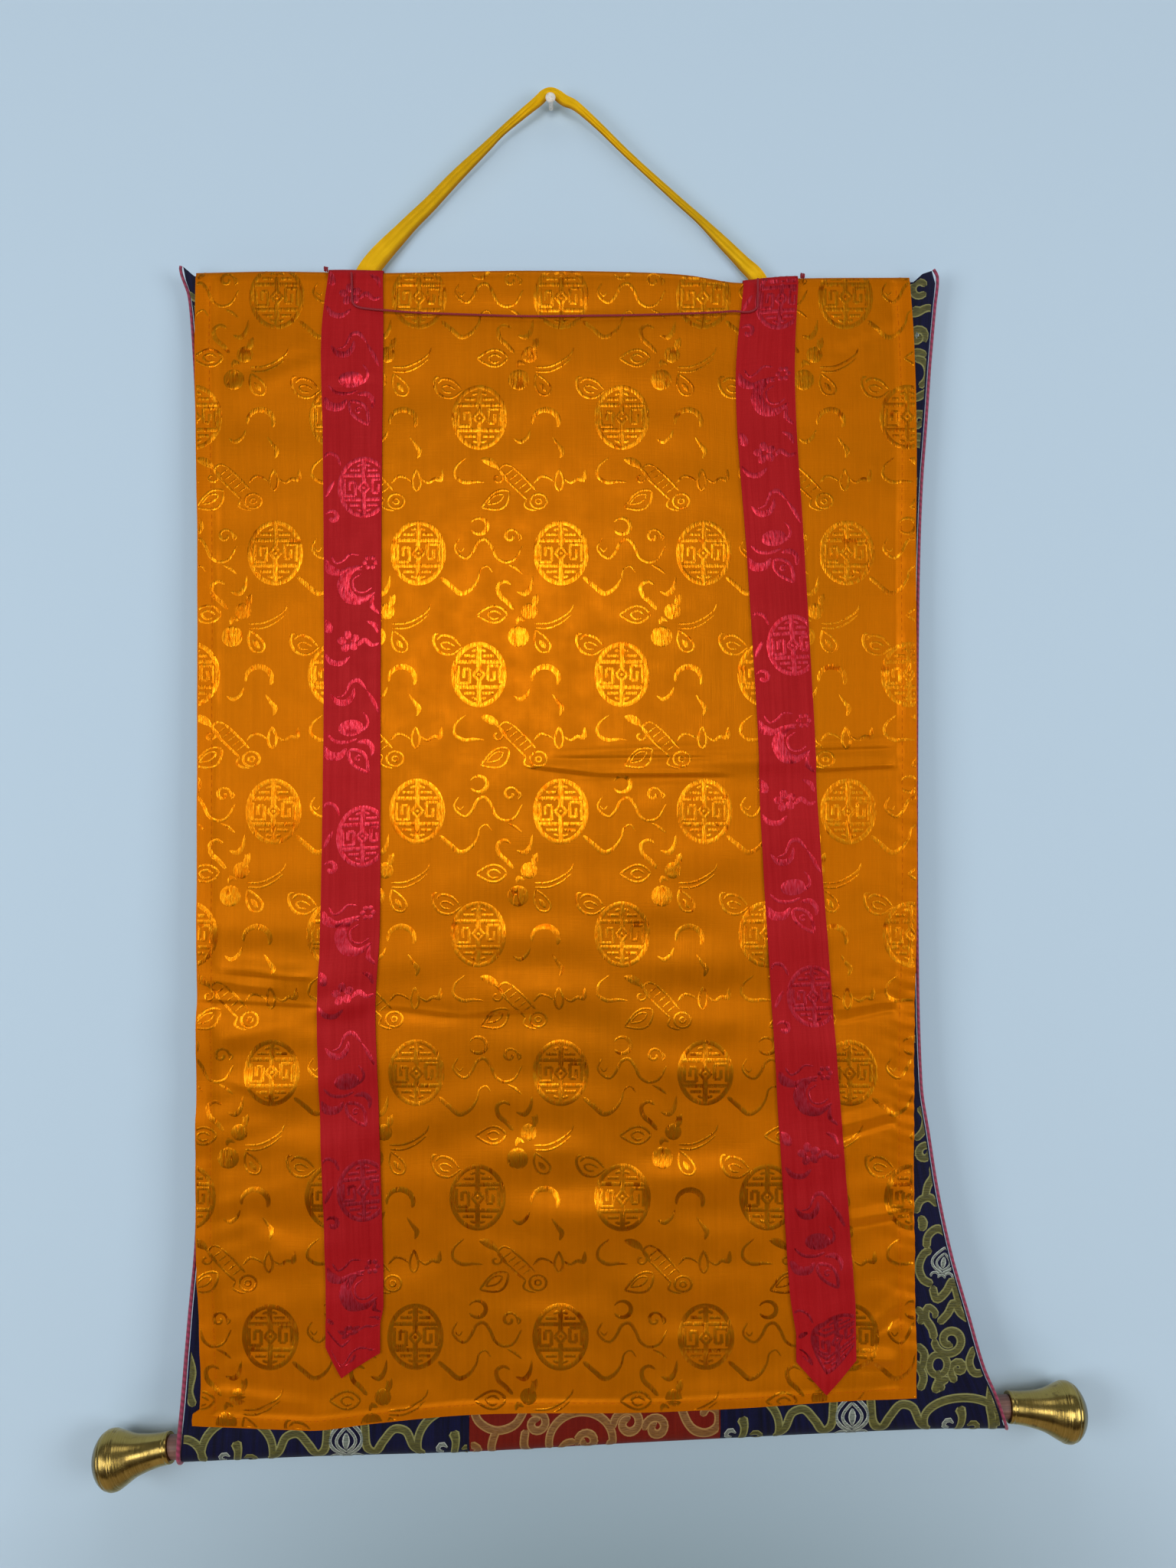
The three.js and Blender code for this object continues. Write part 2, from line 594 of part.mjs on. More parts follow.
function addRibbon(side, ribbon) {
  const tipColumn = tipColumnOf(ribbon);
  const columns = [0, tipColumn / 2, tipColumn, (1 + tipColumn) / 2, 1];
  const down = veilRows().filter((row) => row < RIBBON.lastVeilRow);
  const rows = [...OVER_TOP.slice(0, -1).map(({ row }) => row), ...down, RIBBON.lastVeilRow, 1];
  const middle = (column, row) => ribbonMiddle(ribbon, column, row);
  add(`ribbon_${side}`, sheet({ columns, rows, middle, thick: () => RIBBON.thick }), redSilk);
}

function addLoop() {
  const middles = LOOP.map(({ x, depth, drop }) => at(x, depth, drop));
  const intoWall = new THREE.Vector3(0, 1, 0);
  const stations = LOOP.map(({ width, thick, twist }, i) => {
    const before = middles[Math.max(i - 1, 0)];
    const after = middles[Math.min(i + 1, middles.length - 1)];
    const along = after.clone().sub(before).normalize();
    const across = intoWall.clone().cross(along).normalize().applyAxisAngle(along, degToRad(twist));
    const through = along.clone().cross(across);
    return {
      middle: middles[i],
      across: across.multiplyScalar(width / 2),
      through: through.multiplyScalar(thick / 2),
    };
  });
  add("hanging_loop", swept(stations, RECTANGLE), goldRibbon);
}

function addString() {
  const route = new THREE.CatmullRomCurve3(STRING_ROUTE.map(({ x, depth, drop }) => at(x, depth, drop)));
  const outline = roundSection(STRING.sides).map(
    ([a, b]) => new THREE.Vector2(a, b).multiplyScalar(STRING.diameter / 2),
  );
  const section = new THREE.Shape(outline);
  const tube = new THREE.ExtrudeGeometry(section, { steps: STRING.steps, extrudePath: route, bevelEnabled: false });
  add("crimson_string", tube, crimsonThread);
}

function addKnots() {
  for (const { side, x, drop, depth } of KNOTS) {
    const knot = add(`knot_${side}`, new THREE.IcosahedronGeometry(KNOT.radius, KNOT.rounds), crimsonThread);
    knot.position.copy(at(x, depth, drop));
  }
}

/** The direction out of a knob, in the plane of the wall. */
function knobDirection(side) {
  const angle = degToRad(KNOB_DROOP[side]);
  return new THREE.Vector3(side === "left" ? -Math.cos(angle) : Math.cos(angle), 0, -Math.sin(angle));
}

/** The rod, whose ends are cut to meet the knobs squarely. */
function addRod() {
  const ends = { left: at(ROD.leftX, ROD.depth, ROD.leftDrop), right: at(ROD.rightX, ROD.depth, ROD.rightDrop) };
  const along = ends.right.clone().sub(ends.left).normalize();
  const stations = ["left", "right"].map((side) => {
    const knobward = knobDirection(side);
    const across = new THREE.Vector3(0, 1, 0).cross(knobward).multiplyScalar(side === "left" ? -1 : 1);
    const square = along.clone().cross(across).length();
    return {
      middle: ends[side].clone().addScaledVector(knobward, -GAP),
      across: across.multiplyScalar(ROD.radius / square),
      through: new THREE.Vector3(0, ROD.radius, 0),
    };
  });
  add("rod", swept(stations, roundSection(24)), wood);
}

/** A turned solid, whose outline starts and ends on its axis, set so that it points a given way. */
function addTurned(name, outline, segments, material, place, direction) {
  const points = outline.map(({ along, radius }) => new THREE.Vector2(radius, along));
  const turned = add(name, new THREE.LatheGeometry(points, segments), material);
  turned.position.copy(place);
  turned.quaternion.setFromUnitVectors(new THREE.Vector3(0, 1, 0), direction);
}

function addKnobs() {
  const outline = [{ along: 0, radius: 0 }, ...KNOB_OUTLINE];
  const leftNeck = at(ROD.leftX, ROD.depth, ROD.leftDrop);
  const rightNeck = at(ROD.rightX, ROD.depth, ROD.rightDrop);
  addTurned("knob_left", outline, 24, brass, leftNeck, knobDirection("left"));
  addTurned("knob_right", outline, 24, brass, rightNeck, knobDirection("right"));
}

function addNail() {
  const { shankRadius, headRadius, headFrom, headTo } = NAIL;
  const outline = [
    { along: 0, radius: 0 },
    { along: 0, radius: shankRadius },
    { along: headFrom, radius: shankRadius },
    { along: headFrom, radius: headRadius },
    { along: lerp(headFrom, headTo, 0.45), radius: headRadius },
    { along: lerp(headFrom, headTo, 0.85), radius: headRadius * 0.7 },
    { along: headTo, radius: 0 },
  ];
  addTurned("wall_nail", outline, 20, paintedHead, at(0, 0, 0), new THREE.Vector3(0, -1, 0));
}

addMountAndDoor();
addPiping("left");
addPiping("right");
addVeil();
addRibbon("left", RIBBON_LEFT);
addRibbon("right", RIBBON_RIGHT);
addLoop();
addString();
addKnots();
addRod();
addKnobs();
addNail();

export default scroll;
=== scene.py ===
"""A thangka scroll painting on a wall nail, with its orange silk veil let down in front of the picture.

Lengths are in millimetres until a mesh is made, and then in metres. x runs to the viewer's right, a
"depth" is a distance out from the wall, and a "drop" is a distance below the nail. A row of 0 is the
top edge of a hung cloth, and a row of 1 is its foot, or for the mount the level of the rod. Rows
below 0 are folded over behind.
"""
import math
from collections import namedtuple

import bmesh
import bpy
import numpy as np
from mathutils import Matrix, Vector


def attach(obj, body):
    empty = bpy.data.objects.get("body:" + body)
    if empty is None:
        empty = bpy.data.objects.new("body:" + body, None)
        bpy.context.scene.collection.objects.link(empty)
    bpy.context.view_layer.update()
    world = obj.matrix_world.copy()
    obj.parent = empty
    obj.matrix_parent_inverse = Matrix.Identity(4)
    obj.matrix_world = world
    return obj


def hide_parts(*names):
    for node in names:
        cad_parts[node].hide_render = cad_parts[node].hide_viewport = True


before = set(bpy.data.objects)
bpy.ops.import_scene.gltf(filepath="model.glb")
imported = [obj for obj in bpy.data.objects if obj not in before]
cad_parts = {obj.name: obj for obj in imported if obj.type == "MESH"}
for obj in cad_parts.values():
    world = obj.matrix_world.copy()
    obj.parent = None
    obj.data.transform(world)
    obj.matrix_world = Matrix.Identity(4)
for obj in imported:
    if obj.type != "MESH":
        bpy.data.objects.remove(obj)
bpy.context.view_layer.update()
MM = 0.001

# ---- camera

CAMERA_PLACE = (24.6, 785.0, 450.2)  # x, depth and drop
CAMERA_LENS = 27.04


def at(x, depth, drop):
    """Points from how far right, how deep and how far down they are."""
    x, depth, drop = np.broadcast_arrays(np.asarray(x, float), depth, drop)
    return np.stack([x, -depth, -drop], axis=-1)


def add_camera():
    camera = bpy.data.objects.new("camera", bpy.data.cameras.new("camera"))
    camera.data.lens = CAMERA_LENS
    camera.data.clip_start = 0.01
    camera.location = at(*CAMERA_PLACE) * MM
    camera.rotation_euler = (math.pi / 2, 0, 0)
    bpy.context.scene.collection.objects.link(camera)
    bpy.context.scene.camera = camera


add_camera()

# ---- tables of the hung shapes


class Table:
    """Rows of numbers under named columns."""

    def __init__(self, names, *rows):
        self.columns = dict(zip(names.split(), np.array(rows, float).T))

    def read(self, column, key, place):
        """A column at places along another column, on a smooth curve through the rows."""
        keys, values = self.columns[key], self.columns[column]
        last = len(keys) - 1
        before = np.maximum(np.arange(last + 1) - 1, 0)
        after = np.minimum(np.arange(last + 1) + 1, last)
        slopes = (values[after] - values[before]) / (keys[after] - keys[before])
        place = np.clip(np.asarray(place, float), keys[0], keys[-1])
        i = np.clip(np.searchsorted(keys, place) - 1, 0, last - 1)
        span = keys[i + 1] - keys[i]
        t = (place - keys[i]) / span
        return (
            (2 * t**3 - 3 * t**2 + 1) * values[i]
            + (t**3 - 2 * t**2 + t) * slopes[i] * span
            + (3 * t**2 - 2 * t**3) * values[i + 1]
            + (t**3 - t**2) * slopes[i + 1] * span
        )

    def straight(self, column, key, place):
        """A column at places along another column, in straight steps between the rows."""
        return np.interp(place, self.columns[key], self.columns[column])


GAP = 0.3
ROD = Table("x drop", (-246.6, 881.5), (297.5, 855.3))
ROD_RADIUS = 7.5
ROD_DEPTH = 19.0
KNOB_DROOP = {"left": 12.5, "right": 5.0}  # degrees below the level
MOUNT_THICK = 1.0
MOUNT_TOP_DEPTH = 9.0
WRAP_RADIUS = 8.3
WRAP_ANGLE = 318.0
VEIL_OUT = 3.2  # the veil's middle, in front of the mount's
VEIL_BACK_DEPTH = 7.0
RIBBON_OUT = 1.9  # a ribbon's middle, in front of the veil's
MOUNT_UNDER_VEIL = 3.2
EAR_CURL, EAR_REACH, EAR_LENGTH = 2.5, 5.0, 18.0
EAR_TOPS = {"left": 110.5, "right": 113.0}
DOOR_LEFT, DOOR_RIGHT, DOOR_HEIGHT = -52.0, 110.0, 80.0

MOUNT_EDGES = Table(
    "drop left right",
    (111, -237.5, 249.5),
    (118, -241.5, 252.7),
    (137, -235.8, 251.2),
    (174, -232.5, 247.9),
    (212, -230.6, 245),
    (250, -229.5, 241.8),
    (303, -227.5, 239.5),
    (390, -225, 237.9),
    (540, -223.5, 236.9),
    (640, -224.5, 238.8),
    (675, -225.2, 243.5),
    (712, -226, 249),
    (752, -227.2, 257.3),
    (790, -230.3, 267.8),
    (826, -232.9, 278),
    (845, -234.2, 286),
    (861, -235.6, 291.5),
    (871, -236.5, 295.5),
    (892, -237.5, 296),
)
SLEEVE_SAG = Table("x sag", (-240, 0), (-150, 0.5), (-50, 2.5), (60, 1.8), (240, 2), (299, 4.5))
VEIL_SIDES = Table(
    "drop left right",
    (113, -232.6, 235.1),
    (160, -233.1, 238.1),
    (225, -231.8, 239.4),
    (290, -230.3, 238.5),
    (390, -229.5, 238.3),
    (540, -228.8, 237.3),
    (596, -228.4, 235.5),
    (690, -228.2, 234.4),
    (745, -227.7, 234.4),
    (810, -224.7, 235),
    (851.5, -224.3, 235.3),
    (854, -228.7, 235.3),
    (865, -228.7, 235.3),
)
VEIL_TOP = Table(
    "x drop",
    (-232.6, 114.1),
    (-185, 113.1),
    (-145, 113.6),
    (-110, 114.1),
    (-60, 113.1),
    (-10, 112.5),
    (58, 113.6),
    (91, 115.6),
    (122, 120.5),
    (143, 119),
    (163, 117.6),
    (235, 117.1),
)
VEIL_FOOT = Table(
    "x drop",
    (-228.7, 861.5),
    (-166, 864),
    (-146, 864),
    (-111, 859.6),
    (-51.5, 854.3),
    (50, 853.1),
    (108, 850.4),
    (175, 846.5),
    (236, 844.1),
)
VEIL_HEMS = {"side": 11.0, "foot": 7.5}

# Folds in the silk, each from one end to the other, with a half width and how far out it stands. The
# fine ones are pressed or pulled into the silk between the main ones.
Fold = namedtuple("Fold", "x drop to_x to_drop half out")
MAIN_FOLDS = [
    Fold(-110, 141, 122, 142, 8, -1),
    Fold(-205, 190, -150, 172, 9, 1.2),
    Fold(-2, 439, 223, 433, 5, 0.9),
    Fold(-2, 452, 223, 447, 7, -0.5),
    Fold(-210, 568, -149, 575, 6, 1.6),
    Fold(-222, 589, -162, 592, 6, -1.8),
    Fold(-152, 597, -113, 590, 6, 2),
    Fold(-112, 593, -55, 599, 6, -1.6),
    Fold(60, 612, 150, 606, 16, 1.8),
    Fold(20, 672, 130, 668, 18, -1.6),
    Fold(-219, 712, -164, 757, 8, 1.4),
    Fold(-60, 745, 90, 738, 20, 1.8),
    Fold(-215, 834, -140, 845, 10, -1.8),
]
# Creases, where the silk above a line laps out over the silk below it. The lip is how soft the step is.
Crease = namedtuple("Crease", "x drop to_x to_drop half out lip")
CREASES = [
    Crease(-14, 439, 34, 445, 6, 1.0, 0.8),
    Crease(26, 444.5, 116, 444.5, 6, 1.3, 0.8),
    Crease(-4, 433, 116, 432, 5, 0.5, 0.9),
    Crease(168, 442, 226, 438.5, 6, 1.3, 0.8),
    Crease(168, 428, 226, 426, 5, 0.6, 0.9),
    Crease(-216, 571.5, -152, 577, 6, 0.8, 0.9),
    Crease(-228, 590.5, -151, 594.5, 8, 1.5, 0.9),
    Crease(-108, 594.5, -58, 601, 8, 1.4, 0.9),
    Crease(-60, 601, -6, 596, 9, 0.8, 1.2),
    Crease(-214, 182, -152, 164, 6, 0.6, 1),
    Crease(-150, 190, -112, 184, 5, 0.6, 1),
    Crease(182, 168, 228, 148, 6, 0.7, 1),
    Crease(-222, 842, -150, 852, 12, 1.8, 3.5),
    Crease(-214, 640, -180, 655, 8, 0.9, 1.4),
]
# Pockets near the hems, where the silk falls back evenly from a top line to a foot line and turns out
# again below it.
Pocket = namedtuple("Pocket", "x top foot to_x to_top to_foot out")
POCKETS = [
    Pocket(183, 597, 604, 225, 590, 595.5, 1.25),
    Pocket(183, 672, 680, 224, 661, 667.5, 1.5),
    Pocket(188, 731, 737, 228, 724, 729.5, 1.1),
    Pocket(205, 797, 806, 230, 780, 789, 1.7),
    Pocket(196, 817, 825, 224, 820, 826, 1.4),
    Pocket(-222, 577, 583, -176, 583, 589, 0.9),
]
POCKET_ENDS = 7.0
# A pocket's section: how far out the silk is from above its top line, at 0, to below its foot line, at 1.
POCKET_SECTION = Table("place out", (-1.1, 0), (0, 1), (1, -0.7), (1.4, 0))
FINE_FOLDS = [
    Fold(-2, 430, 118, 425, 2.4, 0.5),
    Fold(20, 446, 116, 442, 2.0, 0.5),
    Fold(50, 452, 116, 450, 2.4, 0.4),
    Fold(170, 424, 226, 420, 2.4, 0.5),
    Fold(172, 443, 226, 439, 2.0, 0.5),
    Fold(-30, 150, 10, 176, 5, 0.5),
    Fold(52, 150, 40, 190, 5, 0.5),
    Fold(-95, 150, -88, 182, 4, 0.4),
    Fold(-210, 650, -156, 668, 14, 0.8),
    Fold(-80, 640, 10, 655, 16, -0.8),
    Fold(-90, 700, 40, 690, 15, 0.9),
    Fold(-60, 800, 60, 790, 14, -1.0),
    Fold(40, 815, 130, 800, 12, 1.0),
    Fold(-216, 800, -170, 790, 12, 1.0),
    Fold(-196, 868, -140, 862, 9, 0.5),
]

OVER_TOP = Table(
    "row up back over",
    (-1, -16, 1, 0),
    (-0.8, -4, 1, 0),
    (-0.6, -1, 0.86, 0.7),
    (-0.4, 0, 0.5, 1),
    (-0.2, -1, 0.14, 0.7),
    (0, -4, 0, 0),
)
TOP_TURN = 4.0  # how far below its fold line a hung cloth starts to hang straight

Ribbon = namedtuple("Ribbon", "edges shoulder_left shoulder_right tip_x tip_drop")
RIBBONS = {
    "left": Ribbon(
        Table(
            "drop left right",
            (113, -144.9, -109.8),
            (156, -149.7, -109.3),
            (231, -148.3, -109.8),
            (389, -146.9, -110.1),
            (547, -148.5, -110),
            (596, -150.3, -112.7),
            (636, -149.1, -111.1),
            (782, -143.3, -106.5),
            (815, -143.7, -108.6),
        ),
        811.3, 814.7, -133.3, 830.7,
    ),
    "right": Ribbon(
        Table(
            "drop left right",
            (117, 126.9, 162.5),
            (188, 121.1, 159.7),
            (304, 128.3, 165.7),
            (418, 134.9, 171.6),
            (468, 136.2, 173.4),
            (611, 144.1, 183.6),
            (782, 154.2, 195.5),
            (820, 158, 196.3),
        ),
        820.5, 819, 177, 840.9,
    ),
}
RIBBON_LAST_VEIL_ROW = 0.9  # down to here a ribbon's rows are the veil's
RIBBON_CUP = 0.35  # how far a ribbon's edges turn in

LOOP = Table(
    "station x drop depth width thick twist",
    (0, -128, 134, 3.3, 15, 1.2, 0),
    (1, -121.5, 110, 3.3, 14.5, 1.2, 0),
    (2, -97, 82.5, 4.3, 13.5, 1.2, 38),
    (3, -80, 66, 5, 13, 1.2, 48),
    (4, -62.5, 48, 5.8, 12, 1.2, 52),
    (5, -43.5, 30, 6.8, 10, 1.3, 60),
    (6, -32, 19, 7.4, 8.5, 1.4, 62),
    (7, -18, 7.5, 8, 7.6, 1.8, 40),
    (8, -8.6, 0.4, 8.6, 7.2, 2.4, 15),
    (9, -3.9, -3.9, 8.8, 6.8, 2.8, 0),
    (10, 0, -5.4, 8.8, 6.4, 3, 0),
    (11, 3.9, -3.9, 8.8, 6.8, 2.8, 0),
    (12, 9.2, -0.2, 8.6, 7.8, 2.2, 10),
    (13, 17, 3.4, 8.2, 8, 1.8, 20),
    (14, 31.5, 15.6, 7.5, 8.5, 1.5, 46),
    (15, 52, 35, 6.5, 9, 1.4, 54),
    (16, 83, 62.5, 5.2, 10.5, 1.3, 63),
    (17, 98.5, 76, 4.6, 11, 1.2, 65),
    (18, 114, 91, 4, 11.5, 1.2, 48),
    (19, 127, 104, 3.6, 12, 1.2, 36),
    (20, 138, 116, 3.3, 12, 1.2, 10),
    (21, 146, 138, 3.3, 12, 1.2, 0),
)

STRING_DIAMETER, STRING_PITCH = 1.5, 3.2
STRING_ROUTE = [  # x, depth and drop
    (-129.9, 15.7, 116),
    (-129.6, 15.9, 124),
    (-129.5, 16, 131),
    (-128.9, 16.1, 136),
    (-125.5, 16.2, 138.8),
    (-117, 16.2, 140.2),
    (-106, 16, 141),
    (-92, 14.9, 141.7),
    (-60, 14.6, 142.9),
    (-19, 14.6, 144.1),
    (20, 14.6, 143.9),
    (58, 14.6, 143.4),
    (95, 14.8, 142.3),
    (112, 15.6, 141.8),
    (120, 16.2, 141.6),
    (130, 16.3, 142),
    (134.6, 16.3, 139.5),
    (135.4, 16.2, 134),
    (135.5, 16.1, 127),
    (135.5, 16, 120),
]
KNOTS = {"left": (-146.9, 14.8, 113.5), "right": (164.6, 14.8, 117.8)}
KNOT_THREAD_RADIUS, KNOT_PITCH, KNOT_TURNS = 0.55, 1.8, 3.5

# ---- where the cloths hang


def lerp(a, b, t):
    return a + (b - a) * t


def smoothstep(value, low, high):
    t = np.clip((value - low) / (high - low), 0, 1)
    return t * t * (3 - 2 * t)


def rod_drop(x):
    left, right = ROD.columns["x"]
    from_drop, to_drop = ROD.columns["drop"]
    return lerp(from_drop, to_drop, (x - left) / (right - left))


def mount_top(x):
    """The drop of the mount's top edge: hidden below the veil's, and higher in its two ears."""
    under_veil = VEIL_TOP.read("drop", "x", x) + MOUNT_UNDER_VEIL
    with_left_ear = lerp(under_veil, EAR_TOPS["left"], smoothstep(-x, 233.4, 237.5))
    return lerp(with_left_ear, EAR_TOPS["right"], smoothstep(x, 237, 248))


def on_mount(x, below, lift=0.0):
    """A place on the mount: so far below the rod along the cloth, and so far out from its middle."""
    x, below, lift = np.broadcast_arrays(np.asarray(x, float), below, lift)
    drop, top = rod_drop(x), mount_top(x)
    here = drop + below
    row = np.clip((here - top) / (drop - top), 0, 1)
    edge = np.minimum(x - MOUNT_EDGES.columns["left"][1], MOUNT_EDGES.columns["right"][1] - x)
    curl = EAR_CURL * np.exp(-edge / EAR_REACH) * np.exp(-np.maximum(here - top, 0) / EAR_LENGTH)
    front = at(x, lerp(MOUNT_TOP_DEPTH, ROD_DEPTH + WRAP_RADIUS, row) + curl + lift, here)
    angle = np.maximum(below, 0) / WRAP_RADIUS
    sag = SLEEVE_SAG.read("sag", "x", x) * np.maximum(np.sin(angle), 0)
    radius = WRAP_RADIUS + lift
    round_rod = at(x, ROD_DEPTH + radius * np.cos(angle), drop + radius * np.sin(angle) + sag)
    return np.where((below > 0)[..., None], round_rod, front)


def mount_edge(side, drop):
    """Where a side edge of the mount is."""
    return MOUNT_EDGES.read(side, "drop", drop)


FOLD_AT_ENDS = 0.35  # a fold's height at its ends, as a share of its middle's


def fold_height(folds, x, drop):
    """How far some folds stand out at places."""
    height = np.zeros(np.broadcast(x, drop).shape)
    for fold in folds:
        run_x, run_drop = fold.to_x - fold.x, fold.to_drop - fold.drop
        share = ((x - fold.x) * run_x + (drop - fold.drop) * run_drop) / (run_x**2 + run_drop**2)
        share = np.clip(share, 0, 1)
        away = np.hypot(x - fold.x - share * run_x, drop - fold.drop - share * run_drop) / fold.half
        rise = FOLD_AT_ENDS + (1 - FOLD_AT_ENDS) * np.sin(np.pi * share)
        height += fold.out * np.exp(-away * away) * rise
    return height


CREASE_ENDS = (-0.02, 0.2)  # the shares of a crease's length over which it fades in


def crease_height(creases, x, drop):
    """How far some creases stand out at places."""
    height = np.zeros(np.broadcast(x, drop).shape)
    for crease in creases:
        run = np.array([crease.to_x - crease.x, crease.to_drop - crease.drop])
        length = np.hypot(*run)
        from_x, from_drop = x - crease.x, drop - crease.drop
        along = (from_x * run[0] + from_drop * run[1]) / length**2
        below = (from_drop * run[0] - from_x * run[1]) / length
        ends = smoothstep(along, *CREASE_ENDS) * smoothstep(1 - along, *CREASE_ENDS)
        height -= crease.out * ends * np.tanh(below / crease.lip) * np.exp(-np.abs(below) / crease.half)
    return height


def pocket_height(pockets, x, drop):
    """How far some pockets stand out at places."""
    height = np.zeros(np.broadcast(x, drop).shape)
    for pocket in pockets:
        along = np.clip((x - pocket.x) / (pocket.to_x - pocket.x), 0, 1)
        top = lerp(pocket.top, pocket.to_top, along)
        foot = lerp(pocket.foot, pocket.to_foot, along)
        fall = POCKET_SECTION.straight("out", "place", (drop - top) / (foot - top))
        ends = smoothstep(x, pocket.x, pocket.x + POCKET_ENDS)
        ends = ends * smoothstep(pocket.to_x - x, 0, POCKET_ENDS)
        height += pocket.out * ends * fall
    return height


WAVES = 9
GATHERS = [  # drop of the middle, half length along the hem, pitch, reach into the cloth and height
    (300, 60, 17, 9, 0.35),
    (470, 50, 13, 10, 0.45),
    (640, 90, 9, 9, 0.6),
    (760, 60, 10, 9, 0.55),
]


def swells(x, drop, pitch, seed):
    """Uneven waves about a pitch apart that run mostly across the cloth."""
    chance = np.random.default_rng(seed)
    height = np.zeros(np.broadcast(x, drop).shape)
    for _ in range(WAVES):
        slant = chance.uniform(-0.5, 0.5)
        wave = pitch * chance.uniform(0.7, 1.7)
        start = chance.uniform(0, 7)
        height += np.sin((drop + slant * x) * 2 * math.pi / wave + start) * math.sqrt(2 / WAVES)
    return height


# Swells have a pitch and a seed, the drops between which they grow, and how far out they stand there.
BROAD_SWELLS = {"pitch": 46.0, "seed": 5}
BROAD_SWELLS_GROW, BROAD_SWELLS_OUT = (470, 620), (0.12, 0.6)
HEM_SWELLS = {"pitch": 15.0, "seed": 9}
HEM_SWELLS_GROW, HEM_SWELLS_OUT = (480, 600), 0.22
HEM_SWELLS_BESIDE = ((-205, 34), (214, 26))  # x, and how far from there they reach
PUCKER_SLANT = 0.35


def veil_ripple(x, drop):
    """The silk's own unevenness: creases, pockets, puckers at the right hem and swells low down."""
    height = fold_height(FINE_FOLDS, x, drop) + crease_height(CREASES, x, drop)
    height = height + pocket_height(POCKETS, x, drop)
    from_hem = VEIL_SIDES.read("right", "drop", drop) - x
    for middle, half, pitch, reach, out in GATHERS:
        along = np.exp(-(((drop - middle) / half) ** 2))
        pucker = np.sin((drop - middle + PUCKER_SLANT * from_hem) * 2 * math.pi / pitch)
        height += out * along * pucker * np.exp(-np.maximum(from_hem, 0) / reach)
    grown = smoothstep(drop, *BROAD_SWELLS_GROW)
    height += lerp(*BROAD_SWELLS_OUT, grown) * swells(x, drop, **BROAD_SWELLS)
    beside_hem = sum(np.exp(-np.abs(x - middle) / reach) for middle, reach in HEM_SWELLS_BESIDE)
    grown = smoothstep(drop, *HEM_SWELLS_GROW)
    height += HEM_SWELLS_OUT * grown * beside_hem * swells(x, drop, **HEM_SWELLS)
    return height


VEIL_DEEPEST = 1.6  # how far in a fold may go before it would touch the mount


def veil_depth(x, drop):
    """The depth of the veil's middle surface."""
    top = VEIL_TOP.read("drop", "x", x)
    share = np.clip((drop - top) / (rod_drop(x) - top), 0, 1)
    mount_depth = lerp(MOUNT_TOP_DEPTH, ROD_DEPTH + WRAP_RADIUS, share)
    settled = smoothstep(drop, top + 2, top + 20)
    height = fold_height(MAIN_FOLDS, x, drop) + veil_ripple(x, drop) * settled
    height = np.where(height < 0, VEIL_DEEPEST * np.tanh(height / VEIL_DEEPEST), height)
    return mount_depth + VEIL_OUT + height


def hung(x, row, out=0.0):
    """A cloth in front of the mount and folded over its top, so far out from the veil's middle."""
    x, row, out = np.broadcast_arrays(np.asarray(x, float), row, out)
    top, foot = VEIL_TOP.read("drop", "x", x), VEIL_FOOT.read("drop", "x", x)
    drop = lerp(top + TOP_TURN, foot, row)
    front = at(x, veil_depth(x, drop) + out, drop)
    up, back, over = (OVER_TOP.straight(column, "row", row) for column in ("up", "back", "over"))
    depth = lerp(veil_depth(x, top) + out, VEIL_BACK_DEPTH - out, back)
    return np.where((row < 0)[..., None], at(x, depth, top - up - out * over), front)


def veil_row(x, drop):
    """The row of the veil at a drop."""
    top = VEIL_TOP.read("drop", "x", x) + TOP_TURN
    return (drop - top) / (VEIL_FOOT.read("drop", "x", x) - top)


def ribbon_edges(ribbon, drop):
    return ribbon.edges.read("left", "drop", drop), ribbon.edges.read("right", "drop", drop)


def ribbon_tip_column(ribbon):
    left, right = (ribbon.edges.columns[side][-1] for side in ("left", "right"))
    return (ribbon.tip_x - left) / (right - left)


def on_ribbon(ribbon, column, row):
    """A place on a ribbon, by columns 0 to 1 across it and rows down to its pointed foot at 1."""
    column, row = np.broadcast_arrays(np.asarray(column, float), row)
    middle_x = (ribbon.edges.columns["left"][0] + ribbon.edges.columns["right"][0]) / 2
    top = VEIL_TOP.read("drop", "x", middle_x) + TOP_TURN
    drop = lerp(top, VEIL_FOOT.read("drop", "x", middle_x), np.maximum(row, 0))
    left, right = ribbon_edges(ribbon, drop)
    x = lerp(left, right, column)
    tip = ribbon_tip_column(ribbon)
    towards_tip = np.where(column < tip, column / tip, (1 - column) / (1 - tip))
    shoulder = lerp(ribbon.shoulder_left, ribbon.shoulder_right, column)
    foot_row = veil_row(x, lerp(shoulder, ribbon.tip_drop, towards_tip))
    share = np.maximum(row - RIBBON_LAST_VEIL_ROW, 0) / (1 - RIBBON_LAST_VEIL_ROW)
    place = lerp(np.minimum(row, RIBBON_LAST_VEIL_ROW), foot_row, share)
    cupped = RIBBON_CUP * (2 * column - 1) ** 2
    return hung(x, place, RIBBON_OUT - cupped)


# ---- meshes


def link(name, mesh, materials):
    """An object of a mesh at the origin, with its materials."""
    for material in materials:
        mesh.materials.append(material)
    piece = bpy.data.objects.new(name, mesh)
    bpy.context.scene.collection.objects.link(piece)
    return piece


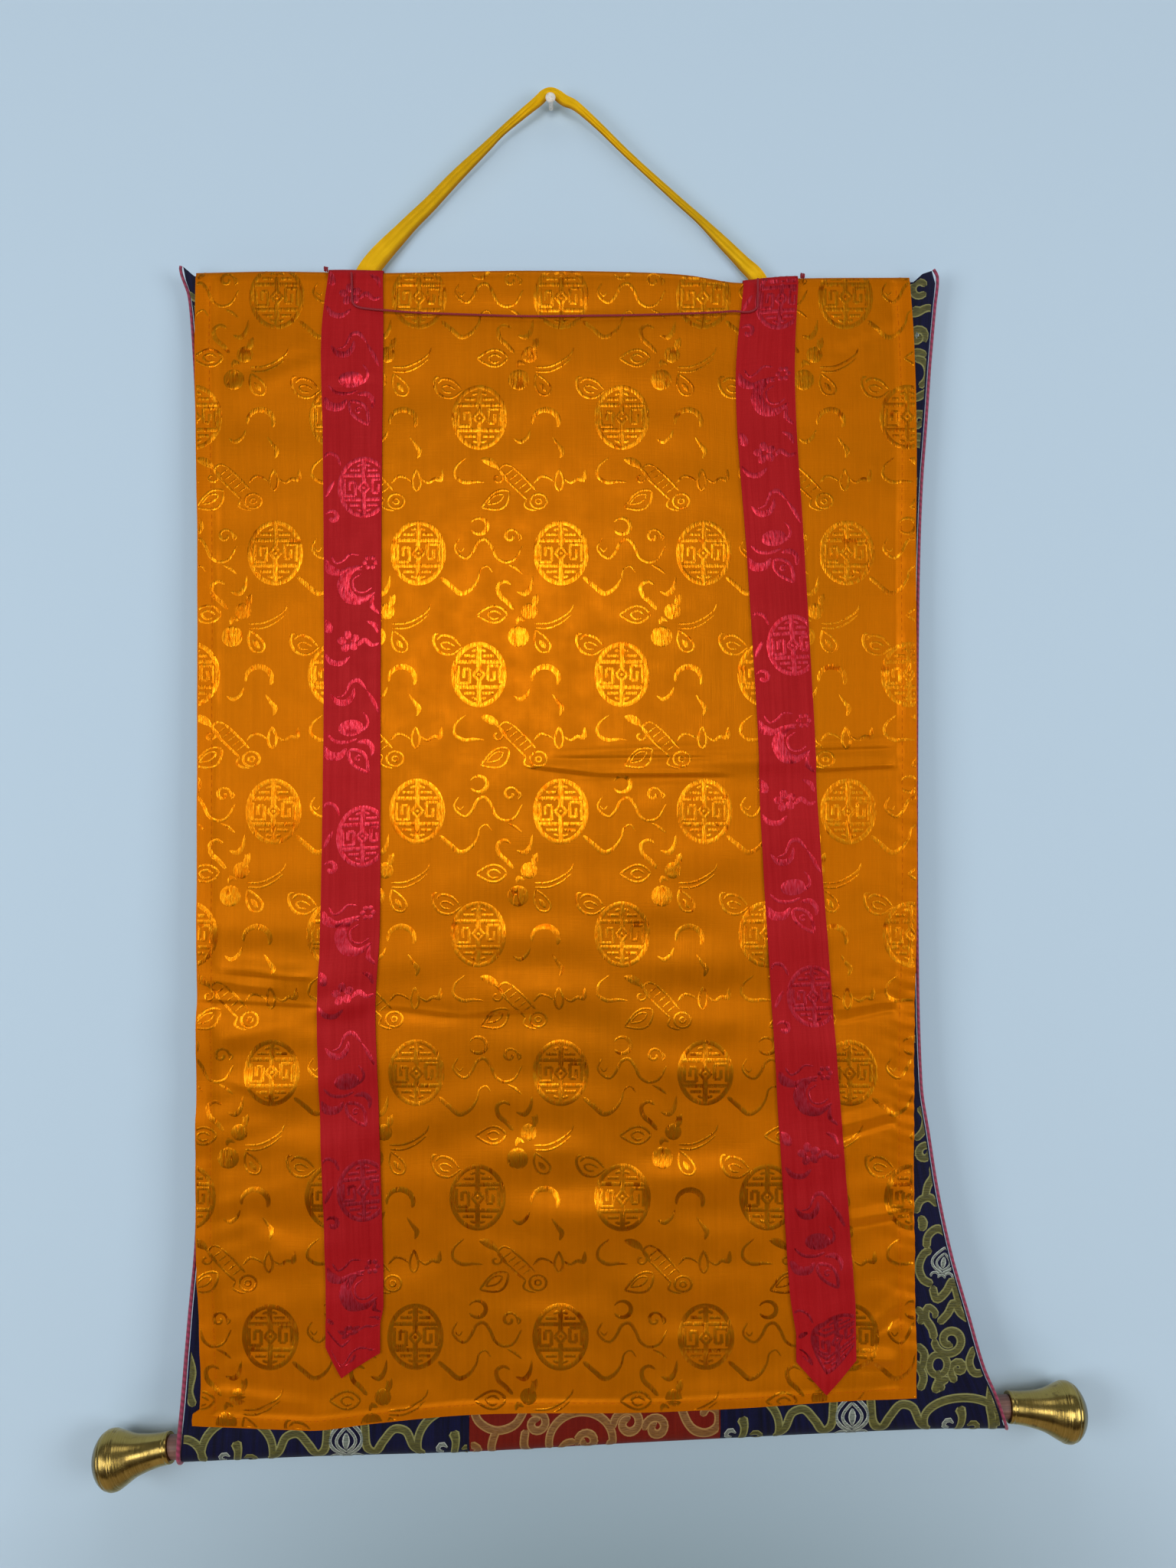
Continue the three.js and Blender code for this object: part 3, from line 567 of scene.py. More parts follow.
def mesh_of(name, points, faces, uvs=None, slots=None, sharp=None):
    """A mesh from points in millimetres, faces of their indices, and uv pairs for each point."""
    mesh = bpy.data.meshes.new(name)
    mesh.from_pydata((np.asarray(points) * MM).tolist(), [], [list(map(int, face)) for face in faces])
    if uvs is not None:
        corners = np.empty(len(mesh.loops), dtype=np.int32)
        mesh.loops.foreach_get("vertex_index", corners)
        layer = mesh.uv_layers.new(name="cloth")
        layer.data.foreach_set("uv", np.asarray(uvs, float)[corners].ravel())
    if slots is not None:
        mesh.polygons.foreach_set("material_index", np.asarray(slots, dtype=np.int32))
    mesh.validate()
    mesh.shade_smooth()
    if sharp is not None:
        mesh.set_sharp_from_angle(angle=math.radians(sharp))
    return mesh


def outward_normals(surface):
    """The normals of a grid of points whose columns go right and whose rows go down."""
    right = np.gradient(surface, axis=1)
    down = np.gradient(surface, axis=0)
    return unit(np.cross(down, right))


def cloth_mesh(name, surface, thick, cloth_uv, has=None, slot_of=None):
    """
    A closed sheet of cloth around a grid of points of its middle surface. thick is its thickness at
    each, cloth_uv the place of each on the flat cloth, has says which cells are cloth, and slot_of
    gives the material slots of the front, the back and the edges.
    """
    high, wide = surface.shape[:2]
    normals = outward_normals(surface)
    half = np.broadcast_to(thick, (high, wide))[..., None] / 2
    points = np.concatenate([(surface + normals * half), (surface - normals * half)]).reshape(-1, 3)
    uvs = np.concatenate([cloth_uv, cloth_uv]).reshape(-1, 2) * MM
    has = np.ones((high - 1, wide - 1), bool) if has is None else has
    front_slot, back_slot = slot_of if slot_of is not None else (np.zeros_like(has, int), 0)
    back = high * wide
    faces, slots = [], []
    padded = np.pad(has, 1)
    for j, i in zip(*np.nonzero(has)):
        a = j * wide + i
        b, c, d = a + 1, a + wide + 1, a + wide
        faces += [(a, d, c, b), (a + back, b + back, c + back, d + back)]
        slots += [front_slot[j, i], back_slot]
        for near, one, other in (
            (padded[j + 1, i], a, d),
            (padded[j + 2, i + 1], d, c),
            (padded[j + 1, i + 2], c, b),
            (padded[j, i + 1], b, a),
        ):
            if not near:
                faces.append((one, one + back, other + back, other))
                slots.append(front_slot[j, i])
    return without_loose_points(mesh_of(name, points, faces, uvs, slots, sharp=50))


def without_loose_points(mesh):
    """The mesh without points that no face uses."""
    work = bmesh.new()
    work.from_mesh(mesh)
    bmesh.ops.delete(work, geom=[v for v in work.verts if not v.link_faces], context="VERTS")
    work.to_mesh(mesh)
    work.free()
    return mesh


def distances(path):
    """How far along a path each of its points is."""
    return np.concatenate([[0], np.cumsum(np.linalg.norm(np.diff(path, axis=0), axis=1))])


def unit(vectors):
    """Rows of vectors, each made one long."""
    return vectors / np.maximum(np.linalg.norm(vectors, axis=-1, keepdims=True), 1e-9)


def spaced(start, end, step):
    """Values from one to another, both included, about a step apart."""
    return np.linspace(start, end, max(round(abs(end - start) / step), 1) + 1)


class ClothGrid:
    """A cloth's grid, by named columns and rows, whose front can be asked for points between them."""

    def __init__(self, columns, rows, surface, thick):
        self.columns, self.rows, self.surface, self.thick = columns, rows, surface, thick
        self.normals = outward_normals(surface)
        self.front = surface + self.normals * (np.broadcast_to(thick, surface.shape[:2])[..., None] / 2)

    def point(self, column, row, lift):
        """Points on the front, lifted off it."""
        i = np.clip(np.searchsorted(self.columns, column) - 1, 0, len(self.columns) - 2)
        j = np.clip(np.searchsorted(self.rows, row) - 1, 0, len(self.rows) - 2)
        s = ((column - self.columns[i]) / (self.columns[i + 1] - self.columns[i]))[..., None]
        t = ((row - self.rows[j]) / (self.rows[j + 1] - self.rows[j]))[..., None]

        def between(grid):
            upper = lerp(grid[j, i], grid[j, i + 1], s)
            return lerp(upper, lerp(grid[j + 1, i], grid[j + 1, i + 1], s), t)

        return between(self.front) + between(self.normals) * lift[..., None]


def add_piece(name, mesh, materials, replaces=()):
    """A finished piece, which rides on the body and takes the place of CAD nodes."""
    piece = link(name, mesh, materials)
    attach(piece, "root")
    if replaces:
        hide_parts(*replaces)
    return piece


def ring_faces(rings, sides):
    """The faces between rings of points, each with as many points."""
    faces = []
    for s in range(rings - 1):
        for k in range(sides):
            a, b = s * sides + k, s * sides + (k + 1) % sides
            faces.append((a, b, b + sides, a + sides))
    return faces


def swept_mesh(name, stations, across, through, section, sharp=60):
    """
    A tube or strip through stations, closed at its ends. across and through are the two half widths
    of its section at each station, and section its points as shares of them, the same all along or
    one set for each station.
    """
    count, sides = len(stations), section.shape[-2]
    points = stations[:, None] + across[:, None] * section[..., :1] + through[:, None] * section[..., 1:2]
    round_it, along_it = np.arange(sides)[None] / sides, distances(stations)[:, None] * MM
    uvs = np.stack(np.broadcast_arrays(round_it, along_it), axis=-1)
    faces = ring_faces(count, sides)
    faces.append(tuple(reversed(range(sides))))
    faces.append(tuple(range((count - 1) * sides, count * sides)))
    return facing_out(mesh_of(name, points.reshape(-1, 3), faces, uvs.reshape(-1, 2), sharp=sharp))


def round_angles(sides):
    return np.arange(sides) * 2 * math.pi / sides


def round_section(sides):
    angle = round_angles(sides)
    return np.stack([np.cos(angle), np.sin(angle)], axis=-1)


def smooth_path(points, step):
    """Points a step apart on a smooth curve through given ones."""
    points = np.asarray(points, float)
    chord = distances(points)
    place = np.linspace(0, chord[-1], max(int(chord[-1] / step), 2) + 1)
    table = Table("chord a b c", *np.column_stack([chord, points]))
    return np.column_stack([table.read(column, "chord", place) for column in "abc"])


PLY_GROOVE = 0.3  # how deep the groove between two plies of thread is, as a share of its radius


def twisted_thread_mesh(name, path, radius, pitch, sides=12):
    """A two-ply thread along a path."""
    along = unit(np.gradient(path, axis=0))
    through = unit(np.cross(along, (0.0, 1.0, 0.0)))
    turn = distances(path) * 2 * math.pi / pitch
    angle = round_angles(sides)
    reach = radius * (1 - PLY_GROOVE * np.sin(angle[None] - turn[:, None]) ** 2)
    section = np.stack([reach * np.cos(angle), reach * np.sin(angle)], axis=-1)
    return swept_mesh(name, path, np.cross(through, along), through, section, sharp=None)


def facing_out(mesh):
    """The mesh with its faces turned outwards."""
    work = bmesh.new()
    work.from_mesh(mesh)
    bmesh.ops.recalc_face_normals(work, faces=work.faces)
    work.to_mesh(mesh)
    work.free()
    return mesh


def turned_mesh(name, profile, place, direction, segments):
    """A lathe-turned solid. Its profile is rows of how far along its axis and how far out from it."""
    axis = np.asarray(direction, float)
    side = np.cross(axis, (0.0, 1.0, 0.0)) if abs(axis[1]) < 0.9 else np.cross(axis, (1.0, 0.0, 0.0))
    side /= np.linalg.norm(side)
    other = np.cross(axis, side)
    angle = round_angles(segments)
    profile = np.asarray(profile, float)
    inner = profile[1:-1]
    ring = side[None] * np.cos(angle)[:, None] + other[None] * np.sin(angle)[:, None]
    rings = place + inner[:, None, :1] * axis + inner[:, None, 1:2] * ring[None]
    start, end = place + profile[0, 0] * axis, place + profile[-1, 0] * axis
    points = np.concatenate([rings.reshape(-1, 3), [start, end]])
    u = np.broadcast_to(angle / (2 * math.pi), (len(inner), segments))
    v = np.broadcast_to(inner[:, :1] * MM, (len(inner), segments))
    poles = [(0.5, profile[0, 0] * MM), (0.5, profile[-1, 0] * MM)]
    uvs = np.concatenate([np.stack([u, v], axis=-1).reshape(-1, 2), poles])
    faces = ring_faces(len(inner), segments)
    first, last = len(points) - 2, len(points) - 1
    top = (len(inner) - 1) * segments
    for k in range(segments):
        faces.append((first, (k + 1) % segments, k))
        faces.append((last, top + k, top + (k + 1) % segments))
    return facing_out(mesh_of(name, points, faces, uvs, sharp=40))


# ---- shader nodes


def srgb(red, green, blue):
    """A colour in linear light from its usual 0 to 255 values."""
    parts = [value / 255 for value in (red, green, blue)]
    return (*[p / 12.92 if p <= 0.04045 else ((p + 0.055) / 1.055) ** 2.4 for p in parts], 1.0)


def node(tree, kind, inputs=None, **settings):
    """A node with its settings, and its inputs given as values or as other nodes' outputs."""
    made = tree.nodes.new(kind)
    for name, value in settings.items():
        setattr(made, name, value)
    for key, value in (inputs or {}).items():
        if isinstance(value, bpy.types.NodeSocket):
            tree.links.new(value, made.inputs[key])
        else:
            made.inputs[key].default_value = value
    return made


def maths(tree, operation, first, second=0.0):
    return node(tree, "ShaderNodeMath", {0: first, 1: second}, operation=operation).outputs[0]


def mixed(tree, share, first, second):
    """Two colours mixed by a share."""
    return node(tree, "ShaderNodeMix", {0: share, 6: first, 7: second}, data_type="RGBA").outputs[2]


def ranged(tree, value, low, high, to_low=0.0, to_high=1.0):
    """A value's place in one range, as a place in another."""
    inputs = {"Value": value, "From Min": low, "From Max": high, "To Min": to_low, "To Max": to_high}
    return node(tree, "ShaderNodeMapRange", inputs).outputs["Result"]


def group(name, inputs, outputs):
    """An empty shader group with named sockets."""
    tree = bpy.data.node_groups.new(name, "ShaderNodeTree")
    for in_out, sockets in (("INPUT", inputs), ("OUTPUT", outputs)):
        for socket, (kind, value) in sockets.items():
            made = tree.interface.new_socket(socket, in_out=in_out, socket_type=kind)
            if value is not None:
                made.default_value = value
    return tree, tree.nodes.new("NodeGroupInput"), tree.nodes.new("NodeGroupOutput")


FLOAT, VECTOR = "NodeSocketFloat", "NodeSocketVector"


def stretched_noise(tree, place, scale, detail):
    """Noise stretched by a scale for each direction."""
    moved = node(tree, "ShaderNodeVectorMath", {0: place, 1: scale}, operation="MULTIPLY").outputs[0]
    inputs = {"Vector": moved, "Scale": 1.0, "Detail": detail}
    return node(tree, "ShaderNodeTexNoise", inputs).outputs["Fac"]


def weave_group():
    """Silk threads: warp down the cloth and weft across it, with slubs."""
    inputs = {"Place": (VECTOR, None), "Warp Threads": (FLOAT, 1600.0), "Weft Threads": (FLOAT, 1200.0)}
    tree, given, made = group("silk threads", inputs, {"Height": (FLOAT, None), "Streak": (FLOAT, None)})
    place = given.outputs["Place"]

    def threads(across, along):
        scale = node(tree, "ShaderNodeCombineXYZ", {"X": across, "Y": along}).outputs[0]
        return stretched_noise(tree, place, scale, 1.0)

    warp = threads(given.outputs["Warp Threads"], 70.0)
    weft = threads(60.0, given.outputs["Weft Threads"])
    height = maths(tree, "ADD", maths(tree, "MULTIPLY", warp, 0.6), maths(tree, "MULTIPLY", weft, 0.4))
    tree.links.new(height, made.inputs["Height"])
    streak = stretched_noise(tree, place, (420.0, 9.0, 1.0), 2.0)
    tree.links.new(ranged(tree, streak, 0.3, 0.7), made.inputs["Streak"])
    return tree


def mottle_group():
    """Slow changes of tone over a surface, and small ones."""
    inputs = {"Place": (VECTOR, None), "Broad Scale": (FLOAT, 6.0), "Small Scale": (FLOAT, 60.0)}
    tree, given, made = group("mottle", inputs, {"Broad": (FLOAT, None), "Small": (FLOAT, None)})
    for scale, name in (("Broad Scale", "Broad"), ("Small Scale", "Small")):
        inputs = {"Vector": given.outputs["Place"], "Scale": given.outputs[scale], "Detail": 2.0}
        noise = node(tree, "ShaderNodeTexNoise", inputs).outputs["Fac"]
        tree.links.new(ranged(tree, noise, 0.3, 0.7), made.inputs[name])
    return tree


def strands_group():
    """Strands that run slantwise round a cord, by its own places across and along it."""
    inputs = {"Place": (VECTOR, None), "Round": (FLOAT, 4.0), "Pitch": (FLOAT, 0.003)}
    tree, given, made = group("slanting strands", inputs, {"Height": (FLOAT, None)})
    parts = node(tree, "ShaderNodeSeparateXYZ", {0: given.outputs["Place"]})
    turns = maths(tree, "MULTIPLY", parts.outputs["X"], given.outputs["Round"])
    steps = maths(tree, "DIVIDE", parts.outputs["Y"], given.outputs["Pitch"])
    wave = maths(tree, "SINE", maths(tree, "MULTIPLY", maths(tree, "ADD", turns, steps), 2 * math.pi))
    tree.links.new(ranged(tree, wave, -1.0, 1.0), made.inputs["Height"])
    return tree


WEAVE, MOTTLE, STRANDS = weave_group(), mottle_group(), strands_group()


def new_material(name, **constants):
    """A material, and its tree and shader, with values that are the same all over set on the shader."""
    material = bpy.data.materials.new(name)
    material.use_nodes = True
    tree = material.node_tree
    shader = next(n for n in tree.nodes if n.type == "BSDF_PRINCIPLED")
    for socket, value in constants.items():
        shader.inputs[socket.replace("_", " ")].default_value = value
    return material, tree, shader


def finished(tree, shader, colour, roughness, height, bump):
    """Gives a shader its colour, its roughness and a bump of so many metres."""
    tree.links.new(colour, shader.inputs["Base Color"])
    tree.links.new(roughness, shader.inputs["Roughness"])
    inputs = {"Height": height, "Distance": bump, "Strength": 1.0}
    tree.links.new(node(tree, "ShaderNodeBump", inputs).outputs["Normal"], shader.inputs["Normal"])


def cloth_place(tree):
    """Places on the flat cloth, across and along it, in metres."""
    return node(tree, "ShaderNodeUVMap", uv_map="cloth").outputs["UV"]


def object_place(tree):
    return node(tree, "ShaderNodeTexCoord").outputs["Object"]


def woven(name, colour, shaded, lit, threads, bump, roughness, **constants):
    """
    A woven cloth. It shades from its colour towards a darker one in broad patches and a lighter one in
    streaks along the warp. threads are how many lie in a metre across it and along it.
    """
    material, tree, shader = new_material(name, **constants)
    place = cloth_place(tree)
    inputs = {"Place": place, "Warp Threads": threads[0], "Weft Threads": threads[1]}
    weave = node(tree, "ShaderNodeGroup", inputs, node_tree=WEAVE).outputs
    mottle = node(tree, "ShaderNodeGroup", {"Place": place}, node_tree=MOTTLE).outputs
    patched = mixed(tree, maths(tree, "MULTIPLY", mottle["Broad"], 0.8), colour, shaded)
    streaked = mixed(tree, maths(tree, "MULTIPLY", weave["Streak"], 0.45), patched, lit)
    speckled = mixed(tree, ranged(tree, weave["Height"], 0.35, 0.65, 0.3, 0.0), streaked, shaded)
    rough = ranged(tree, mottle["Small"], 0.0, 1.0, roughness - 0.06, roughness + 0.06)
    finished(tree, shader, speckled, rough, weave["Height"], bump)
    return material


# ---- cloths and finishes


def orange_silk():
    return woven(
        "orange silk", srgb(204, 108, 0), srgb(184, 102, 0), srgb(212, 116, 2), (1500, 1300),
        0.0001, 0.42, Metallic=0.38, Specular_IOR_Level=0.03,
    )


def hem_silk():
    return woven(
        "doubled orange silk", srgb(208, 109, 0), srgb(190, 103, 0), srgb(216, 118, 2), (1500, 1300),
        0.00012, 0.44, Metallic=0.36, Specular_IOR_Level=0.03,
    )


def satin_floats(name, turned, middle, glint, roughness, **constants):
    """A satin figure: silk floats along the warp, with dark slits between some of them. Its colour holds
    painted glints on short dashes along the warp, and patches of painted shade in its turned colour.
    """
    # turned is the colour of the painted shade and of the slits, glint the colour of the painted glints
    material, tree, shader = new_material(name, **constants)
    place = cloth_place(tree)
    # dashes along the warp where painted glints lie, mixed towards the glint colour
    dash = stretched_noise(tree, place, (900.0, 240.0, 1.0), 1.0)
    split = stretched_noise(tree, place, (330.0, 24.0, 1.0), 0.0)
    # broad patches of painted shade, darkened towards the turned colour
    wear_and_painted_shade = stretched_noise(tree, place, (34.0, 34.0, 1.0), 2.0)
    from_slit = maths(tree, "ABSOLUTE", maths(tree, "SUBTRACT", split, 0.5))
    slit = ranged(tree, from_slit, 0.006, 0.028, 0.75, 0.0)
    body = mixed(tree, ranged(tree, dash, 0.3, 0.7), middle, glint)
    body = mixed(tree, ranged(tree, wear_and_painted_shade, 0.5, 0.72, 0.0, 0.6), body, turned)
    slitted = mixed(tree, slit, body, turned)
    rough = ranged(tree, dash, 0.3, 0.7, roughness + 0.08, roughness)
    finished(tree, shader, slitted, rough, maths(tree, "SUBTRACT", dash, slit), 0.00012)
    return material


def damask_figure():
    # its darkest colour is painted shade and the slits, its lightest painted glints
    return satin_floats(
        "satin figure of the damask", srgb(170, 74, 0), srgb(210, 112, 2), srgb(230, 148, 20), 0.28,
        Metallic=0.9, Specular_IOR_Level=0.05,
    )


def red_silk():
    return woven(
        "red silk", srgb(180, 22, 28), srgb(153, 13, 19), srgb(192, 34, 39), (1500, 1300),
        0.00012, 0.48, Metallic=0.2, Specular_IOR_Level=0.1,
    )


def red_figure():
    # its darkest colour is painted shade and the slits, its lightest painted glints
    return satin_floats(
        "satin figure of the ribbons", srgb(134, 10, 17), srgb(176, 25, 36), srgb(208, 60, 78), 0.32,
        Metallic=0.8, Specular_IOR_Level=0.1,
    )


def navy_satin():
    return woven(
        "navy satin ground", srgb(14, 14, 44), srgb(6, 7, 15), srgb(22, 26, 80), (1400, 900),
        0.0002, 0.5, Specular_IOR_Level=0.15,
    )


def brick_satin():
    return woven(
        "brick red satin ground", srgb(112, 20, 9), srgb(85, 11, 6), srgb(128, 30, 15), (1400, 900),
        0.0002, 0.5, Specular_IOR_Level=0.15,
    )


def lining():
    return woven(
        "plain indigo lining", srgb(38, 48, 84), srgb(30, 38, 70), srgb(48, 58, 96), (900, 900),
        0.0003, 0.85, Sheen_Weight=0.05,
    )


def outlined_band(name, middle, middle_dark, outline, roughness, **constants):
    """A brocaded band of floating weft, with a lighter thread along each of its edges."""
    material, tree, shader = new_material(name, **constants)
    across = node(tree, "ShaderNodeSeparateXYZ", {0: cloth_place(tree)}).outputs["X"]
    from_middle = maths(tree, "ABSOLUTE", maths(tree, "SUBTRACT", across, 0.5))
    place = object_place(tree)
    floats = stretched_noise(tree, place, (260.0, 260.0, 1500.0), 1.0)
    wear_and_painted_shade = stretched_noise(tree, place, (40.0, 40.0, 40.0), 2.0)
    body = mixed(tree, ranged(tree, floats, 0.35, 0.65), middle_dark, middle)
    body = mixed(tree, ranged(tree, wear_and_painted_shade, 0.45, 0.7, 0.0, 0.5), body, middle_dark)
    band = mixed(tree, ranged(tree, from_middle, 0.3, 0.37), body, outline)
    rough = ranged(tree, floats, 0.3, 0.7, roughness - 0.07, roughness + 0.07)
    finished(tree, shader, band, rough, floats, 0.0004)
    return material


def gold_scroll():
    return outlined_band(
        "olive gold brocade", srgb(98, 94, 38), srgb(66, 65, 27), srgb(134, 132, 76), 0.5, Metallic=0.15,
    )


def tan_scroll():
    return outlined_band(
        "tan gold brocade", srgb(140, 96, 42), srgb(114, 70, 30), srgb(164, 122, 66), 0.5, Metallic=0.2,
    )


def silver_bud():
    return outlined_band(
        "silver white brocade", srgb(140, 148, 138), srgb(98, 108, 104), srgb(188, 194, 184), 0.42,
        Metallic=0.3,
    )


def corded(name, colour, shaded, round_by, pitch, bump, roughness, **constants):
    """A thread or cord of slanting strands."""
    material, tree, shader = new_material(name, **constants)
    inputs = {"Place": cloth_place(tree), "Round": round_by, "Pitch": pitch}
    height = node(tree, "ShaderNodeGroup", inputs, node_tree=STRANDS).outputs["Height"]
    inputs = {"Vector": object_place(tree), "Scale": 40.0}
    patch = node(tree, "ShaderNodeTexNoise", inputs).outputs["Fac"]
    tone = maths(tree, "MULTIPLY", height, ranged(tree, patch, 0.3, 0.7, 0.6, 1.0))
    rough = ranged(tree, patch, 0.3, 0.7, roughness - 0.05, roughness + 0.05)
    finished(tree, shader, mixed(tree, tone, shaded, colour), rough, height, bump)
    return material


def piping_cloth():
    return corded(
        "crimson piping", srgb(172, 52, 92), srgb(122, 30, 60), 1.0, 0.004, 0.0001, 0.6, Sheen_Weight=0.3,
    )


def crimson_thread():
    return corded("crimson thread", srgb(182, 46, 62), srgb(124, 22, 34), 6.0, 0.0016, 0.0001, 0.75)


def orange_thread():
    material, tree, shader = new_material("orange sewing thread", Specular_IOR_Level=0.05)
    strands = stretched_noise(tree, object_place(tree), (3000.0, 3000.0, 3000.0), 1.0)
    twisted = mixed(tree, ranged(tree, strands, 0.35, 0.65), srgb(176, 84, 2), srgb(220, 116, 4))
    finished(tree, shader, twisted, ranged(tree, strands, 0.3, 0.7, 0.5, 0.7), strands, 0.0001)
    return material


LOOP_PAINTED_SHADE_EDGE = 0.48  # how far round the loop's section the edge with painted shade is, where it turns under


def loop_satin():
    """Yellow satin, with painted shade: browner along the edge that is turned under."""
    material = woven(
        "golden yellow satin", srgb(255, 198, 0), srgb(240, 172, 0), srgb(255, 222, 20), (1100, 500),
        0.00025, 0.4, Metallic=0.15, Specular_IOR_Level=0.15,
    )
    tree = material.node_tree
    shader = next(n for n in tree.nodes if n.type == "BSDF_PRINCIPLED")
    round_it = node(tree, "ShaderNodeSeparateXYZ", {0: cloth_place(tree)}).outputs["X"]
    from_edge = maths(tree, "ABSOLUTE", maths(tree, "SUBTRACT", round_it, LOOP_PAINTED_SHADE_EDGE))
    # painted shade: a brown band along the edge that turns under
    under = ranged(tree, from_edge, 0.06, 0.16, 0.8, 0.0)
    satin = shader.inputs["Base Color"].links[0].from_socket
    tree.links.new(mixed(tree, under, satin, srgb(150, 92, 8)), shader.inputs["Base Color"])
    return material


BRASS_PAINTED_DARK_DOME = (0.0405, 0.0465)  # how far along a knob its dome starts to be painted dark, as a painted dark reflection, and is fully so


def satin_brass():
    """Turned brass: fine rings from the lathe, brown patches and spots, and a domed end painted dark as a
    painted reflection.
    """
    material, tree, shader = new_material("satin brass", Metallic=1.0)
    place = cloth_place(tree)
    rings = stretched_noise(tree, place, (2.0, 2600.0, 1.0), 2.0)
    inputs = {"Place": object_place(tree), "Broad Scale": 45.0, "Small Scale": 260.0}
    mottle = node(tree, "ShaderNodeGroup", inputs, node_tree=MOTTLE).outputs
    brown = maths(tree, "MULTIPLY", mottle["Broad"], 0.55)
    tarnished = mixed(tree, brown, srgb(172, 146, 78), srgb(124, 98, 48))
    spots = ranged(tree, mottle["Small"], 0.75, 1.0, 0.0, 0.5)
    spotted = mixed(tree, spots, tarnished, srgb(84, 62, 40))
    turned = mixed(tree, ranged(tree, rings, 0.4, 0.7, 0.0, 0.35), spotted, srgb(214, 188, 116))
    along = node(tree, "ShaderNodeSeparateXYZ", {0: place}).outputs["Y"]
    # the domed end darkened in its colour: a painted dark reflection
    domed = mixed(tree, ranged(tree, along, *BRASS_PAINTED_DARK_DOME, 0.0, 0.75), turned, srgb(70, 66, 50))
    rough = ranged(tree, mottle["Broad"], 0.0, 1.0, 0.18, 0.3)
    finished(tree, shader, domed, rough, rings, 0.00008)
    return material


def rod_wood():
    """Mauve-brown wood with its grain along the rod."""
    material, tree, shader = new_material("rod wood")
    place = cloth_place(tree)
    grain = stretched_noise(tree, place, (24.0, 9.0, 1.0), 4.0)
    pores = stretched_noise(tree, place, (120.0, 60.0, 1.0), 2.0)
    colour = mixed(tree, ranged(tree, grain, 0.35, 0.65), srgb(98, 64, 56), srgb(140, 102, 90))
    colour = mixed(tree, ranged(tree, pores, 0.55, 0.7, 0.0, 0.6), colour, srgb(70, 44, 38))
    finished(tree, shader, colour, ranged(tree, grain, 0.3, 0.7, 0.42, 0.6), grain, 0.0002)
    return material


def nail_enamel():
    """Off-white enamel with small dull marks."""
    material, tree, shader = new_material("nail enamel", Coat_Weight=0.4)
    inputs = {"Vector": object_place(tree), "Scale": 900.0, "Detail": 3.0}
    marks = node(tree, "ShaderNodeTexNoise", inputs).outputs["Fac"]
    rubbed = mixed(tree, ranged(tree, marks, 0.5, 0.75), srgb(236, 232, 226), srgb(196, 188, 178))
    finished(tree, shader, rubbed, ranged(tree, marks, 0.3, 0.7, 0.25, 0.45), marks, 0.00005)
    return material


# ---- the mount, its door panel and its piping

MOUNT_NOMINAL = {"left": -234.2, "right": 286.0}  # where the side edges are read at a row's drop
WRAP_LENGTH = math.radians(WRAP_ANGLE) * WRAP_RADIUS
DOOR_ROW = 1 - DOOR_HEIGHT / float(rod_drop(0.0) - mount_top(np.array(0.0)))


def mount_below(x, row):
    """How far below the rod a row is along the cloth. Rows 1 to 2 go round the rod."""
    return np.where(row < 1, (row - 1) * (rod_drop(x) - mount_top(x)), (row - 1) * WRAP_LENGTH)


def mount_place(column, row):
    """The mount's middle. Columns 0 to 1 are left of the door panel, 1 to 2 its width, 2 to 3 the rest."""
    column, row = np.broadcast_arrays(column, row)
    left, right = (
        mount_edge(side, -on_mount(np.full_like(row, x), mount_below(x, row))[..., 2])
        for side, x in MOUNT_NOMINAL.items()
    )
    x = np.where(column < 1, lerp(left, DOOR_LEFT, column), lerp(DOOR_LEFT, DOOR_RIGHT, column - 1))
    x = np.where(column > 2, lerp(DOOR_RIGHT, right, column - 2), x)
    return on_mount(x, mount_below(x, row))


MOUNT_ROW_STEP = 0.011
WRAP_ROWS = 37


def mount_rows(start=0.0):
    """Rows from one down to the rod and on round it, with the door panel's top among them."""
    upper = spaced(start, DOOR_ROW, MOUNT_ROW_STEP)[:-1] if start < DOOR_ROW else []
    lower = spaced(max(start, DOOR_ROW), 1, MOUNT_ROW_STEP)[:-1]
    return np.concatenate([upper, lower, np.linspace(1, 2, WRAP_ROWS)])


def cloth_places(surface):
    """The place of each point of a grid on the flat cloth, from how far it is along rows and columns."""
    across = np.linalg.norm(np.diff(surface, axis=1), axis=-1).mean(axis=0)
    down = np.linalg.norm(np.diff(surface, axis=0), axis=-1).mean(axis=1)
    u = np.concatenate([[0], np.cumsum(across)])
    v = np.concatenate([[0], np.cumsum(down)])
    return np.stack(np.meshgrid(u, v), axis=-1)


def add_mount():
    columns = np.concatenate([np.linspace(0, 1, 29), np.linspace(1, 2, 21)[1:], np.linspace(2, 3, 25)[1:]])
    rows = mount_rows()
    surface = mount_place(columns[None], rows[:, None])
    centre_column = (columns[:-1] + columns[1:]) / 2
    centre_row = (rows[:-1] + rows[1:]) / 2
    door = (centre_row > DOOR_ROW)[:, None] & ((centre_column > 1) & (centre_column < 2))[None]
    slots = np.zeros(door.shape, int)
    mesh = cloth_mesh("mount", surface, MOUNT_THICK, cloth_places(surface), ~door, (slots, 1))
    return add_piece("mount", mesh, [navy_satin(), LINING], ["brocade_mount"])


